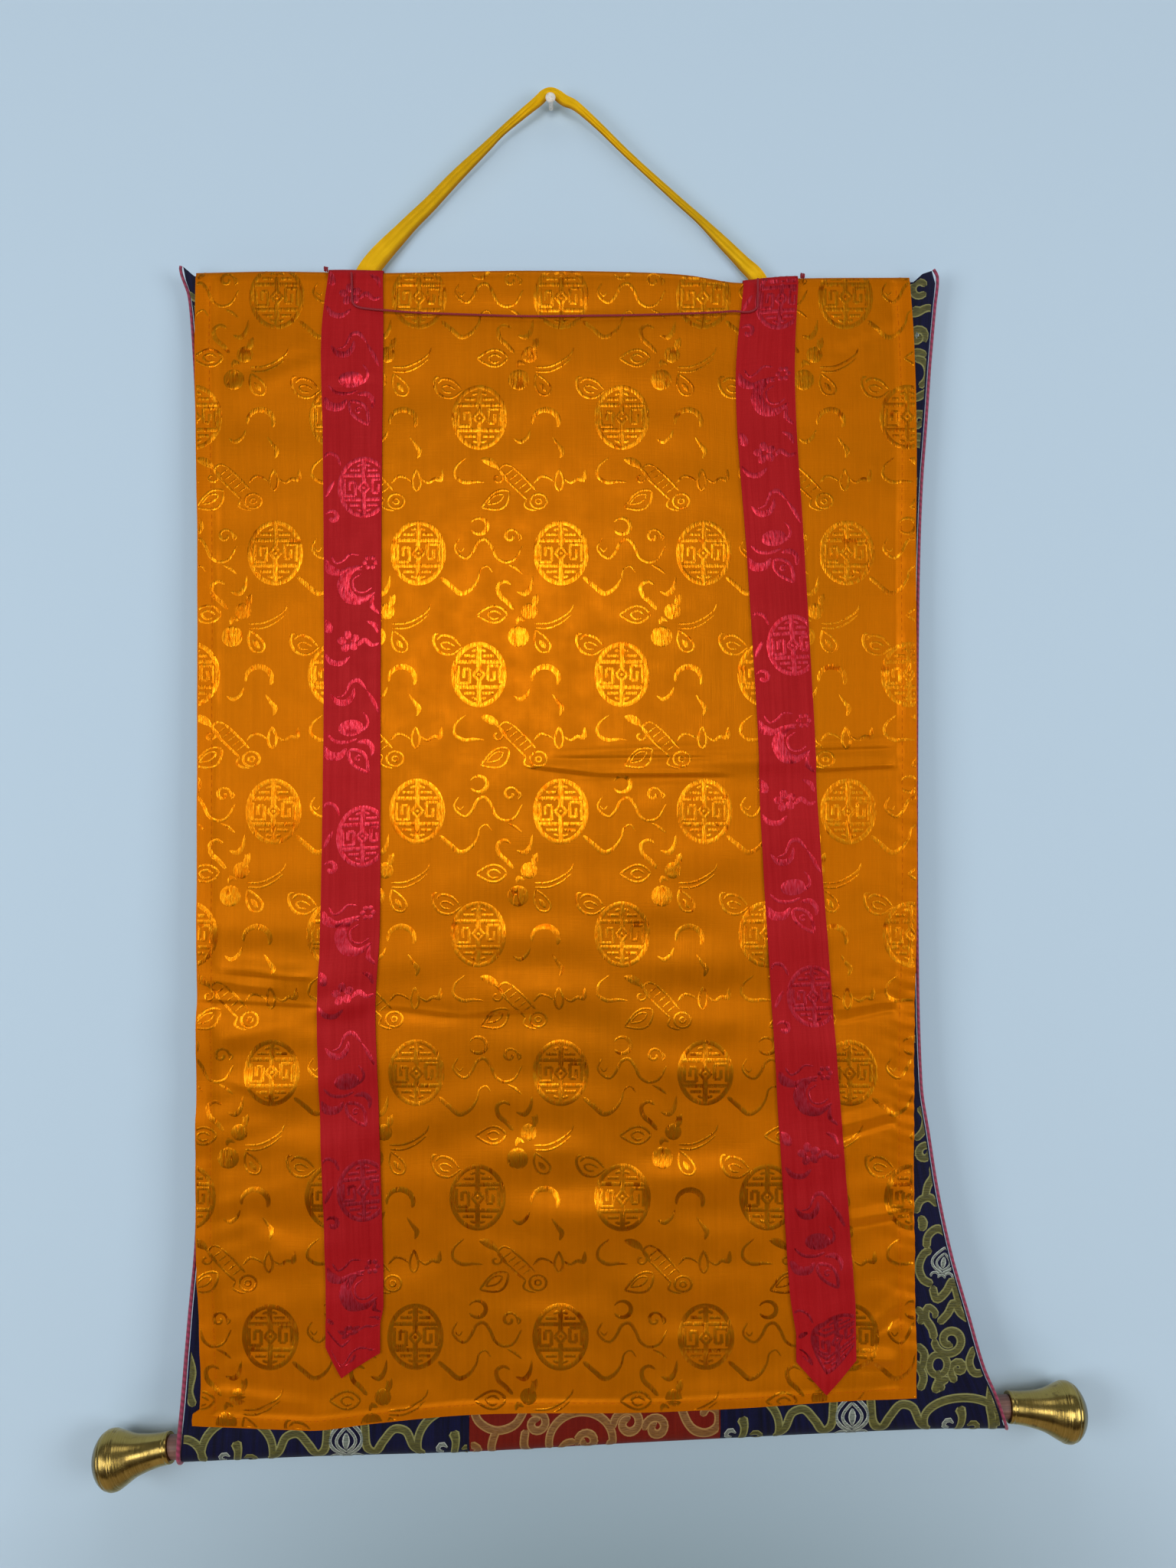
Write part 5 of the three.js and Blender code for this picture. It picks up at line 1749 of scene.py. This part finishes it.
def clouds():
    """The curls and wisps of cloud between the other figures."""
    return (
        arc(-10.2, -82.6, 8.6, 8.2, 190, -25, 1.6, 3, 3.8, 3.6, 2.2)
        + curve([(-5.6, -92.4), (-2, -97.6), (0.8, -101.6), (-0.6, -106.4)], 0.9, 2, 3.6, 1.4)
        + curve([(-30.8, -93.4), (-26.8, -95.8), (-22, -92.6), (-19.8, -87.8)], 1.2, 2.8, 2.2, 1)
        + curve(
            [
                (14.6, -15.8), (21.4, -21.6), (28, -26.6), (34.6, -23.6), (39.2, -17), (40.8, -11),
                (45, -8.6), (48.4, -12.6),
            ],
            2.6, 3, 3.2, 2.4, 1.4, 1.2, 0.9,
        )
        + arc(39.6, 17.6, 5.6, 5.2, 155, -150, 0.9, 2.6, 3, 1.4)
        + curve(
            [
                (-66.4, 9.4), (-69.4, 3.2), (-66.2, -1.6), (-61.6, -3.4), (-57.4, 1), (-54, 7.4),
                (-49.4, 9), (-45.2, 4), (-42.2, -2.6), (-36.8, -6), (-30.2, -4.2), (-25, 4.6),
            ],
            1, 1.8, 2, 2.2, 2, 1.8, 1,
        )
        + curve([(-67.6, 3.4), (-65.2, 0.8), (-63.2, 3.4)], 1.1)
        + spiral(-32.8, 11, 5.4, -20, 1.15, 1.2, 2.2, 1.8)
        + curve([(-28.2, 13.2), (-25.6, 10.4), (-27.6, 8)], 1.4)
        + curve([(-34, -7.8), (-29.4, -10.2), (-25, -13.8)], 1.2, 2, 1)
    )


def tied_bundle():
    """A tied bundle: two loops of ribbon, a hatched roll and a leaf, with curled tails on both sides."""
    hatching = [((-36.4 + 3.1 * k, 51.0 - 2.9 * k), (-31.6 + 3.1 * k, 54.8 - 2.9 * k)) for k in range(5)]
    return (
        leaf_outline(-33.8, 40.4, -52, 29.8, 11.4, 1.6, 1.6)
        + leaf_outline(-37.4, 38.2, -48.4, 31.8, 4.8, 1.3)
        + curve([(-38.4, 50.6), (-30, 42.4), (-22.4, 35.2)], 1.5)
        + curve([(-31.6, 56.4), (-23.6, 49), (-16.4, 41)], 1.5)
        + curve([(-38.6, 50.8), (-40, 55), (-36.4, 58), (-32, 56.6)], 1.5)
        + [stroke for start, end in hatching for stroke in curve([start, end], 1.1)]
        + arc(-14.6, 34, 5.4, 4.8, 0, 360, 1.6)
        + arc(-14.6, 34, 2, 1.8, 0, 360, 1.4)
        + curve([(-22.6, 35.2), (-24, 31), (-20, 28.6), (-16, 28)], 1.5)
        + lens(-52.4, 61.6, -40.4, 55.6, 5.4, 0.08, 0.7)
        + curve([(-43.4, 57.6), (-38, 52.4), (-34.6, 47.4)], 1.4, 1.8, 1.4)
        + spiral(-41.4, 49.2, 4.2, 60, -1, 1.2, 1.8, 1.4)
        + curve(
            [(-62, 62.6), (-68.6, 56.6), (-69.2, 50.4), (-63.4, 46.4), (-56.4, 46.8), (-50, 46.4)],
            0.8, 1.6, 2, 2.6, 2.2, 1,
        )
        + curve([(-17.6, 45.8), (-13.4, 50.2), (-8.4, 49.4), (-4.6, 46.8)], 1.2, 2, 1.6, 1)
        + leaf_outline(-1.2, 40.6, -1.2, 55, 5.4, 1.6)
        + curve([(2, 48.6), (6.4, 46), (10.6, 48.6), (14.6, 48), (15.6, 54.6)], 1.2, 1.8, 2.4, 3.4, 1.4)
    )


def veil_figure():
    """The damask's repeat, as often as the veil has room for it, each with its row."""
    repeat = gourd() + seed_leaf() + clouds() + tied_bundle()
    roundel = fret_roundel()
    repeat += roundel + placed(roundel, *SECOND_ROUNDEL)
    first_x, first_drop = FIRST_ROUNDEL
    return [
        (row, placed(repeat, first_x + column * REPEAT_ACROSS, -(first_drop + row * REPEAT_DOWN)))
        for row in range(0, 6)
        for column in range(-1, 6)
    ]


# How far along the cloth a place is above the veil's fold line, and its row.
OVER_FOLD = Table("below row", (-18, -1), (-6, -0.8), (-3, -0.6), (0, -0.4), (1, -0.2), (4, 0))
DAMASK_OVER_FOLD = 5.0  # how far up from the fold line, along the cloth, the figures may go


def on_damask(x, up, lift):
    top = VEIL_TOP.read("drop", "x", x)
    row = veil_row(x, -up)
    row = np.where(row > 0, row, OVER_FOLD.straight("row", "below", -up - top))
    left, right = veil_sides(row)
    return VEIL.point((x - left) / (right - left), row, lift)


DAMASK_MARGIN = 1.0  # kept free along the veil's edges


def inside_veil(x, up):
    """The place on the veil that is nearest to another."""
    row = veil_row(x, -up)
    left, right = veil_sides(row)
    x = np.clip(x, left + DAMASK_MARGIN, right - DAMASK_MARGIN)
    lowest = VEIL_FOOT.read("drop", "x", x) - DAMASK_MARGIN
    highest = VEIL_TOP.read("drop", "x", x) - DAMASK_OVER_FOLD
    return x, -np.clip(-up, highest, lowest)


def add_damask():
    """The veil's figure, in two pieces: its upper and its lower rows."""
    material = damask_figure()
    for name, rows in (("upper", (0, 1)), ("lower", (2, 3, 4, 5))):
        figure = [stroke for row, strokes in veil_figure() if row in rows for stroke in strokes]
        mesh = figure_mesh(f"{name} damask", figure, on_damask, inside_veil)
        add_piece(f"{name}_damask", mesh, [material])


# ---- the mount's brocade

BAND = 5.7
WRAP_MARGIN = 2.0  # kept free at the end of the cloth behind the rod
EDGE_MARGIN = 1.2


def scroll_arch(x, up, radius_x, radius_up):
    """A round arch of scrollwork over a budded stem between two curls."""
    return (
        arc(x, up, radius_x, radius_up, 200, -20, 5, BAND, BAND, BAND, 5)
        + curve(
            [(x - 2.4, up - 16), (x - 0.6, up - 6), (x + 0.6, up + 1), (x - 1, up + 7.4)],
            4, 4.6, 5, 7.6,
        )
        + spiral(x + 8.4, up - 6.4, 4.6, 150, -0.9, 3, 3.6, 3.8)
        + curve([(x + 1, up - 10), (x + 5, up - 13), (x + 8.8, up - 11)], 3.4, 3.6, 2.8)
    )


def silver_curl(x, up):
    """The small white curl beside a budded stem."""
    return spiral(x - 8.6, up - 3.6, 4, 20, 0.85, 2.2, 3, 3.2)


def wave(x, flip):
    """The band that winds from beside a bud to the next arch."""
    rise = [(11.5, 27), (12.2, 10), (13.6, -1), (18.4, -4.6), (24.2, 2.4)]
    fall = [(31, 9.4), (38.6, 7.6), (43, -1), (50, -8)]
    return placed(curve(rise + fall, 5.4, BAND, BAND, BAND, BAND, 5.2), x, flip=flip)


def bud(x, up):
    """A pointed bud: two outlines round a seed, on a scalloped foot."""
    return (
        leaf_outline(x, up - 11.5, x, up + 12, 21, 2.3)
        + leaf_outline(x, up - 9, x, up + 6.6, 12.4, 2)
        + lens(x, up - 7.6, x, up + 3.2, 5, power=0.8)
        + arc(x - 6.4, up - 14.6, 3.6, 3.2, 200, 10, 2.2)
        + arc(x + 6.4, up - 14.6, 3.6, 3.2, -20, 170, 2.2)
        + arc(x, up - 16.4, 3.2, 3, 180, 0, 2.2)
    )


def hook(x, up, radius, width):
    """A stem that ends in a wound curl."""
    winding = spiral(0, 0, radius, 180, -1.1, width * 0.9, width, width * 0.8)
    path = [(-radius, 0), (-radius * 1.02, -radius * 0.9), (-radius * 0.4, -radius * 1.9)]
    return placed(winding + curve(path, width * 0.9, width), x, up)


SLEEVE_MIDDLES = (-131, 194.5)  # the x of the two buds beside the door panel
SLEEVE_ARCH_BESIDE = 70.0  # from a bud to the arches beside it


def sleeve_figure():
    """The navy brocade's scrolls round the sleeve, left and right of the door panel."""
    gold = []
    for middle, last_arch_height in zip(SLEEVE_MIDDLES, (21.6, 13)):
        gold += wave(middle, False) + wave(middle, True)
        gold += scroll_arch(middle - SLEEVE_ARCH_BESIDE, -1, 23, 21.6)
        gold += scroll_arch(middle + SLEEVE_ARCH_BESIDE, -1, 24, last_arch_height)
        gold += curve([(middle + 53, 16), (middle + 56, 22), (middle + 62, 25)], BAND, 7.6, 5)
        gold += curve([(middle - 47, 21), (middle - 42, 26), (middle - 36, 23)], 5, 8, 5)
        gold += curve([(middle - 24, 16), (middle - 20, 19), (middle - 24, 24)], 4, 6, 5)
    gold += curve([(-243, 8), (-233, 9), (-226, 4), (-222, -6)], 5, BAND, BAND, 5)
    gold += curve([(284, 20), (283, 6), (286, -8), (288, -20)], 5, BAND, BAND, 5)
    gold += curve([(-233.5, 66), (-230.5, 52), (-233, 40), (-229, 30)], 4, BAND, 7.6, 5)
    return gold


def sleeve_silver():
    """The white buds and curls among the sleeve's scrolls."""
    silver = []
    for middle in SLEEVE_MIDDLES:
        silver += bud(middle, 5.5)
        silver += silver_curl(middle - SLEEVE_ARCH_BESIDE, -1)
        silver += silver_curl(middle + SLEEVE_ARCH_BESIDE, -1)
    return silver + lens(-168, 16.5, -163, 17.5, 3) + lens(289, 40, 291, 34, 3.4)


def flare_figure():
    """The brocade's scrolls up the right side, where the mount flares out towards its foot."""
    return (
        curve([(252.6, 17), (250.4, 24), (249.4, 30)], 5, BAND)
        + arc(250, 33.6, 5.8, 6.6, 0, 360, 5)
        + hook(263, 31, 4.6, 5.6)
        + curve([(238, 18), (240.4, 26), (237.4, 33), (234, 36)], 5.4, BAND, 5)
        + spiral(257.6, 49, 10.2, 172, 1.35, 5, BAND, BAND, 5)
        + curve(
            [(247.6, 50), (246, 57), (242, 64), (243.6, 70.6), (248.4, 67), (247.6, 63.4)],
            5.4, BAND, 5, 4,
        )
        + curve([(236, 47), (240.8, 42), (240.6, 35.6), (238.6, 31)], 5, BAND, 5)
        + curve([(273.4, 44), (270, 34.6), (273, 27.6), (279, 27.8), (278.6, 33.6)], 4.6, 5.4, 5.4, 4)
        + curve([(250.4, 60), (256.4, 66), (260.4, 72.6), (264.6, 66), (270.6, 61)], 5.4, BAND, BAND, 5)
        + curve(
            [(246.4, 84), (249.4, 75.4), (255.4, 80), (259.6, 86.4), (262.6, 78), (264, 70)],
            5.4, BAND, BAND, 5.4,
        )
        + curve([(236, 70.6), (239.6, 66), (238.6, 60)], 5, BAND)
        + curve([(246.6, 85), (240.6, 88.6), (238, 96.4), (241, 104.4), (246, 107.4)], 5.4, BAND, BAND, 5.4)
        + curve([(243, 108.4), (244, 116), (250, 120.4), (256.4, 117), (259, 111)], 5.4, BAND, BAND, 5)
        + curve([(238.6, 129), (240.8, 124.6), (240, 119.4)], 4.6, 6.6, 5)
        + curve([(236, 131), (239, 138.6), (245, 140.6), (251, 135.4)], 5, BAND, BAND, 5)
        + curve([(242.4, 140), (244, 148), (247.6, 154.4), (247, 160.6)], 5, 5.6, 4.6)
        + spiral(242.6, 169, 6.6, -30, 1.2, 4.6, 5.6, 4.6)
        + curve([(236, 178), (241.6, 184), (243, 192), (238.6, 199)], 4.6, 5.6, 4.6)
    )


def margin_figure(side, x):
    """Scrolls down a side of the mount, of which only a narrow margin shows."""
    flip = side == "left"
    margin_unit = (
        arc(0, 0, 7.6, 9, 100, -80, 5, 5.8, 5)
        + spiral(0.6, 24, 6, -40, 1.15, 5, 6.4, 5)
        + curve([(-9, 41), (-1, 39.4), (7, 42.6), (13, 41)], 4.4, 5.6, 4.6)
        + curve([(-6, 12), (0.6, 13.6), (6.4, 11.4)], 4.4, 5.6, 4.6)
    )
    made = []
    for drop in range(180, 629, 56):
        made += placed(margin_unit, x, rod_drop(x) - drop, flip=flip)
    return made


def ear_figure():
    """The brocade on the two turned-out top corners."""
    left, right = rod_drop(-234), rod_drop(244)
    return (
        curve([(-240, left - 128), (-234, left - 130), (-227, left - 134.6)], 5, 5.8, 5)
        + curve([(-236, left - 150), (-229, left - 147)], 4, 5)
        + arc(242.6, right - 124.4, 4.4, 4.6, 20, 330, 4.6, 5.4, 4.6)
        + curve([(238, right - 137.6), (244, right - 138.4), (251, right - 137)], 5, 4.4)
    )


def flare_silver():
    return placed(bud(0, 0), 254, 100, -8, 0.7)


def ear_silver():
    right = rod_drop(244)
    return lens(240.6, right - 160, 240.6, right - 152, 3.6)


def door_figure():
    """The red panel's scrolls: an arch, wound curls beside it and a garland on each side."""
    return (
        arc(20, -4, 20.5, 18.6, 195, -15, 5, BAND, BAND, 5)
        + spiral(24, -4.4, 7, 200, -1.2, 4.6, BAND, 5)
        + curve([(6, -12), (10, -5), (16.6, -3.4)], 4.6, 5.6, 4.6)
        + spiral(50.6, 6, 9.8, 196, -1.35, 5, BAND, BAND, 5)
        + spiral(68.4, 2.4, 7.6, 190, -1.3, 5, BAND, BAND, 4.6)
        + curve([(40, -3), (38.6, -12), (44, -20)], BAND, 5.6)
        + curve(
            [
                (82, 27), (85.4, 12), (91, 1.4), (100, -2.4), (107.6, 1.6), (108, 10.6), (102, 13.6),
                (97.6, 8.4),
            ],
            5.4, BAND, BAND, BAND, 5,
        )
        + curve([(88, 24.6), (97, 22), (106.6, 25.4)], 5, 6.8, 5)
        + curve([(-50, 23), (-45.6, 11.6), (-34.6, 5.4), (-22.4, 8.6), (-14.8, 20.6)], 5.4, BAND, BAND, 5.4)
        + curve([(-34.6, 5), (-37.6, -4.6), (-36, -16)], BAND, 5)
        + curve([(-51, -2), (-46, -5.4), (-49, -12)], 4.6, 5.8)
        + spiral(-8.6, 8.6, 7.4, 120, -1.2, 5, BAND, 5)
        + curve([(-15.6, 5), (-16.4, -5.4), (-11, -13.6), (-2, -14)], 5.6, BAND, 5)
        + curve([(30, 25), (22.6, 20.4), (14, 24)], 4.6, 5.4, 4.6)
    )


BROCADE_SIDES = {"left": (-400, DOOR_LEFT - EDGE_MARGIN), "right": (DOOR_RIGHT + EDGE_MARGIN, 400)}


def on_brocade(x, up, lift):
    return on_mount(x, -up, MOUNT_THICK / 2 + lift)


def inside_brocade(low, high):
    """Keeps a figure on the mount between two places across it, clear of its edges."""

    def keep(x, up):
        up = np.clip(up, WRAP_MARGIN - WRAP_LENGTH, rod_drop(x) - mount_top(x) - 1)
        drop = rod_drop(x) - up
        left = np.maximum(mount_edge("left", drop) + EDGE_MARGIN, low)
        right = np.minimum(mount_edge("right", drop) - EDGE_MARGIN, high)
        return np.clip(x, left, right), up

    return keep


def add_brocade():
    gold, tan, silver = gold_scroll(), tan_scroll(), silver_bud()
    navy = sleeve_figure() + flare_figure() + ear_figure()
    navy += margin_figure("right", 240.6) + margin_figure("left", -230)
    white = sleeve_silver() + flare_silver() + ear_silver()
    pieces = [
        (side, name, inside_brocade(*limits), figure, material, "navy_brocade")
        for side, limits in BROCADE_SIDES.items()
        for name, figure, material in (("scrolls", navy, gold), ("buds", white, silver))
    ]
    keep = inside_brocade(DOOR_LEFT + EDGE_MARGIN, DOOR_RIGHT - EDGE_MARGIN)
    pieces.append(("door", "scrolls", keep, door_figure(), tan, "red_brocade"))
    for side, name, keep, figure, material, slot in pieces:
        mesh = figure_mesh(f"{side} {name}", figure, on_brocade, keep, BROCADE_CROWN, cloth_uv=False)
        add_piece(f"{side}_{name}", mesh, [material])


# ---- the ribbons' damask

RIBBON_DAMASK_MARGIN = 1.1
RIBBON_DAMASK_LAST_ROW = 0.985
RIBBON_REPEAT = 227.5
RIBBON_FIRST_DROP = {"left": 154, "right": 258.0}


def ribbon_scrolls():
    """The swooping scrolls and rosette of the ribbons' repeat, read downwards from its start."""
    petal = lens(1.8, 0, 5, 0, 3.2)
    return (
        curve([(-13.6, -10), (-9.6, -15), (-3.6, -15.6), (0.6, -11), (1.2, -6.6)], 1.2, 4.2, 3.8, 1.4)
        + curve(
            [(-9.6, -12), (-5, -10.6), (-2.4, -6), (-0.4, -2.6), (4, -1.6), (9.6, -8)],
            0.9, 1.4, 3, 1.2,
        )
        + curve([(9.8, -8.6), (13.6, -15), (17.6, -23.4)], 1.2, 2.8, 1.4)
        + curve(
            [(-17.4, -150), (-15.4, -155.6), (-8.6, -158.6), (-1, -156), (6, -157)],
            2.4, 6.4, 4, 2.4, 1.4,
        )
        + curve(
            [(-13.8, -147.6), (-10.4, -152.4), (-5.6, -150.4), (-1.6, -146.8), (4.4, -147.4)],
            1.2, 1.6, 1.1,
        )
        + curve(
            [(6.6, -154.4), (-1, -157.6), (-5.8, -165.6), (-2, -174.6), (6, -177), (14.6, -171.8)],
            1.6, 5.2, 8.2, 8.4, 4.4, 1.4,
        )
        + curve([(5.6, -159.6), (0.4, -163.6), (2, -170.4), (7.6, -171.8), (12.6, -168.8)], 1.1, 1.5, 1)
        + [stroke for k in range(6) for stroke in placed(petal, 11.6, -152.4, 60.0 * k)]
        + curve([(13.6, -174), (12.6, -180.6), (17.6, -186)], 1.4, 3.2, 1.6)
        + spiral(-13, -122.4, 4.8, 150, -0.9, 1.6, 3.4, 2.6)
    )


def ribbon_fruit():
    """A round fruit with a curled stalk, its crescent of petals, a leaf and a wisp."""
    return (
        lens(-8.6, -32.6, 7.4, -32, 10.6, power=0.45)
        + curve([(6.4, -34.6), (10.2, -30.6), (9.6, -25.6), (7.2, -22.6)], 2.2, 1.8, 1)
        + curve([(-15.6, -36), (-10.6, -40.6), (-2.4, -41.4), (3.4, -39.4)], 1.4, 2.4, 1.4)
        + curve([(-18.6, -44), (-14.6, -49.6), (-7.6, -50), (-3.4, -45.4)], 3, 6, 5.2, 1.8)
        + curve([(3.6, -42), (9.6, -41.6), (13.4, -45.6), (13, -51)], 1.6, 3.6, 3.2, 1.6)
        + leaf_outline(-1.6, -46.6, 10.6, -62, 9.6, 2.2, 1)
        + spiral(4.2, -52.6, 2.6, 40, 0.9, 1.2, 1.6)
    )


def ribbon_blossom():
    """A blossom on a branch, with a crescent below it."""
    petal = lens(1.4, 0, 7.4, 0, 5.2, 0.1)
    return (
        [stroke for k in range(5) for stroke in placed(petal, -2.4, -203.6, 72.0 * k + 20)]
        + curve([(-18, -211), (-13.6, -216.6), (-7, -217.6), (-1.6, -213.4)], 1.4, 3.6, 3.4, 1.4)
        + curve([(3, -206.6), (8, -203), (13, -206.4), (18, -205)], 1.8, 3.6, 2.6, 1.6)
        + curve([(9.6, -190.6), (14.6, -193.4), (16.6, -198.6)], 1.4, 3.4, 1.6)
        + lens(-19.6, -189, -13.6, -197.6, 7, power=0.6)
        + curve([(-19.6, -84.6), (-15.6, -80.6), (-10.4, -82.4), (-7.6, -88.6)], 1.4, 2.4, 1.4)
        + curve([(-17.4, -109), (-14.4, -103), (-11.6, -98.6)], 1.6, 2.8, 1.6)
    )


def ribbon_figure():
    """The ribbons' repeat: scrolls, a fruit, the fretwork roundel, more scrolls and a blossom."""
    roundel = placed(fret_roundel(), 7.4, -103, size=0.94)
    return ribbon_scrolls() + ribbon_fruit() + roundel + ribbon_blossom()


def add_ribbon_figure(side, material):
    cloth, ribbon = RIBBON_CLOTHS[side], RIBBONS[side]
    middle_x = (ribbon.edges.columns["left"][0] + ribbon.edges.columns["right"][0]) / 2
    top, foot = hung_drop(middle_x, 0), hung_drop(middle_x, 1)

    def on_cloth(across, up, lift):
        left, right = ribbon_edges(ribbon, -up)
        row = (-up - top) / (foot - top)
        fold_row = OVER_FOLD.straight("row", "below", -up - top + TOP_TURN)
        return cloth.point(across / (right - left) + 0.5, np.where(row > 0, row, fold_row), lift)

    def keep(across, up):
        left, right = ribbon_edges(ribbon, -up)
        half = (right - left) / 2 - RIBBON_DAMASK_MARGIN
        lowest = -lerp(top, foot, RIBBON_DAMASK_LAST_ROW)
        highest = -top + TOP_TURN + DAMASK_OVER_FOLD
        return np.clip(across, -half, half), np.clip(up, lowest, highest)

    starts = [RIBBON_FIRST_DROP[side] + k * RIBBON_REPEAT for k in range(-2, 4)]
    figure = [stroke for drop in starts for stroke in placed(ribbon_figure(), 0, -drop)]
    mesh = figure_mesh(f"{side} ribbon damask", figure, on_cloth, keep)
    return add_piece(f"{side}_ribbon_damask", mesh, [material])


# ---- the wall, floor and lights

WALL_COLOUR = srgb(200, 223, 243)
WALL_SHADE = srgb(120, 140, 146)  # below the scroll, where less of the room's light comes
WALL_SHADE_PLACE = (0.05, 0.003, -1.3)
WALL_SHADE_REACH = (0.22, 0.56)
FLOOR_DROP, CEILING_DROP = 1900.0, -1800.0
WALL_DEPTH, FLOOR_DEPTH = -3.0, 1400.0
STAGE_HALF = 3000.0


def add_stage():
    """A pale wall that shows only from its front, and a pale floor below it."""
    material, tree, shader = new_material("pale wall")
    inputs = {0: object_place(tree), 1: WALL_SHADE_PLACE}
    from_shade = node(tree, "ShaderNodeVectorMath", inputs, operation="DISTANCE").outputs["Value"]
    shade = ranged(tree, from_shade, *WALL_SHADE_REACH)
    tree.links.new(mixed(tree, shade, WALL_SHADE, WALL_COLOUR), shader.inputs["Base Color"])
    shader.inputs["Roughness"].default_value = 0.9
    output = next(n for n in tree.nodes if n.type == "OUTPUT_MATERIAL")
    clear = node(tree, "ShaderNodeBsdfTransparent").outputs[0]
    behind = node(tree, "ShaderNodeNewGeometry").outputs["Backfacing"]
    shown = node(tree, "ShaderNodeMixShader", {0: behind, 1: shader.outputs[0], 2: clear}).outputs[0]
    tree.links.new(shown, output.inputs["Surface"])
    drops = np.array([FLOOR_DROP, FLOOR_DROP, CEILING_DROP, CEILING_DROP])
    corners = at(np.array([-1, 1, 1, -1]) * STAGE_HALF, WALL_DEPTH, drops)
    wall = link("wall", mesh_of("wall", corners, [(0, 1, 2, 3)]), [material])
    floor_material, _, floor_shader = new_material("pale floor")
    floor_shader.inputs["Base Color"].default_value = srgb(218, 196, 168)
    floor_shader.inputs["Roughness"].default_value = 0.8
    depths = np.array([-STAGE_HALF, FLOOR_DEPTH, FLOOR_DEPTH, -STAGE_HALF])
    corners = at(np.array([-1, -1, 1, 1]) * STAGE_HALF, depths, FLOOR_DROP)
    floor = link("floor", mesh_of("floor", corners, [(0, 1, 2, 3)]), [floor_material])


def add_light(name, x, depth, drop, size, power, colour, aim=(25.0, 0.0, 450.0)):
    """A soft square light, turned towards a place on the scroll."""
    light = bpy.data.objects.new(name, bpy.data.lights.new(name, "AREA"))
    light.data.size = size
    light.data.energy = power
    light.data.color = colour
    place = Vector(at(x, depth, drop) * MM)
    light.location = place
    light.rotation_euler = (Vector(at(*aim) * MM) - place).to_track_quat("-Z", "Y").to_euler()
    bpy.context.scene.collection.objects.link(light)


def add_lights():
    world = bpy.data.worlds.new("soft daylight")
    bpy.context.scene.world = world
    world.use_nodes = True
    tree = world.node_tree
    background = next(n for n in tree.nodes if n.type == "BACKGROUND")
    direction = node(tree, "ShaderNodeTexCoord").outputs["Generated"]
    height = node(tree, "ShaderNodeSeparateXYZ", {0: direction}).outputs["Z"]
    above = ranged(tree, height, -0.43, 0.12)
    tint = mixed(tree, above, (1.0, 0.72, 0.5, 1.0), (0.84, 0.93, 1.0, 1.0))
    tree.links.new(tint, background.inputs["Color"])
    tree.links.new(ranged(tree, above, 0.0, 1.0, 0.04, 0.17), background.inputs["Strength"])
    add_light("window", -200, 2900, -60, 0.9, 18, (1.0, 0.99, 0.97))
    add_light("left wall", -1400, 1400, 520, 1.0, 13, (0.98, 1.0, 1.0), (-200, 0, 560))
    add_light("right wall", 1400, 1400, 480, 1.0, 12, (0.98, 1.0, 1.0), (200, 0, 540))
    add_light("ceiling", 0, 900, -1250, 0.7, 3, (0.97, 1.0, 1.0), (25, 0, 350))
    bpy.context.scene.view_settings.view_transform = "Standard"


# ---- the whole scroll

LINING = lining()
CRIMSON = crimson_thread()


def add_scroll():
    string = add_string(CRIMSON)
    for side in KNOTS:
        add_knot(side, CRIMSON)
    mount, door = add_mount(), add_door_panel()
    add_brocade()
    piping = piping_cloth()
    for side in ("left", "right"):
        add_piping(side, piping)
    veil = add_veil()
    add_stitches()
    add_damask()
    silk = red_silk()
    ribbons = {side: add_ribbon(side, silk) for side in RIBBONS}
    satin = red_figure()
    for side in RIBBONS:
        add_ribbon_figure(side, satin)
    loop = add_loop()
    add_rod()
    brass = satin_brass()
    for side in ("left", "right"):
        add_knob(side, brass)
    add_nail()


add_scroll()
add_stage()
add_lights()
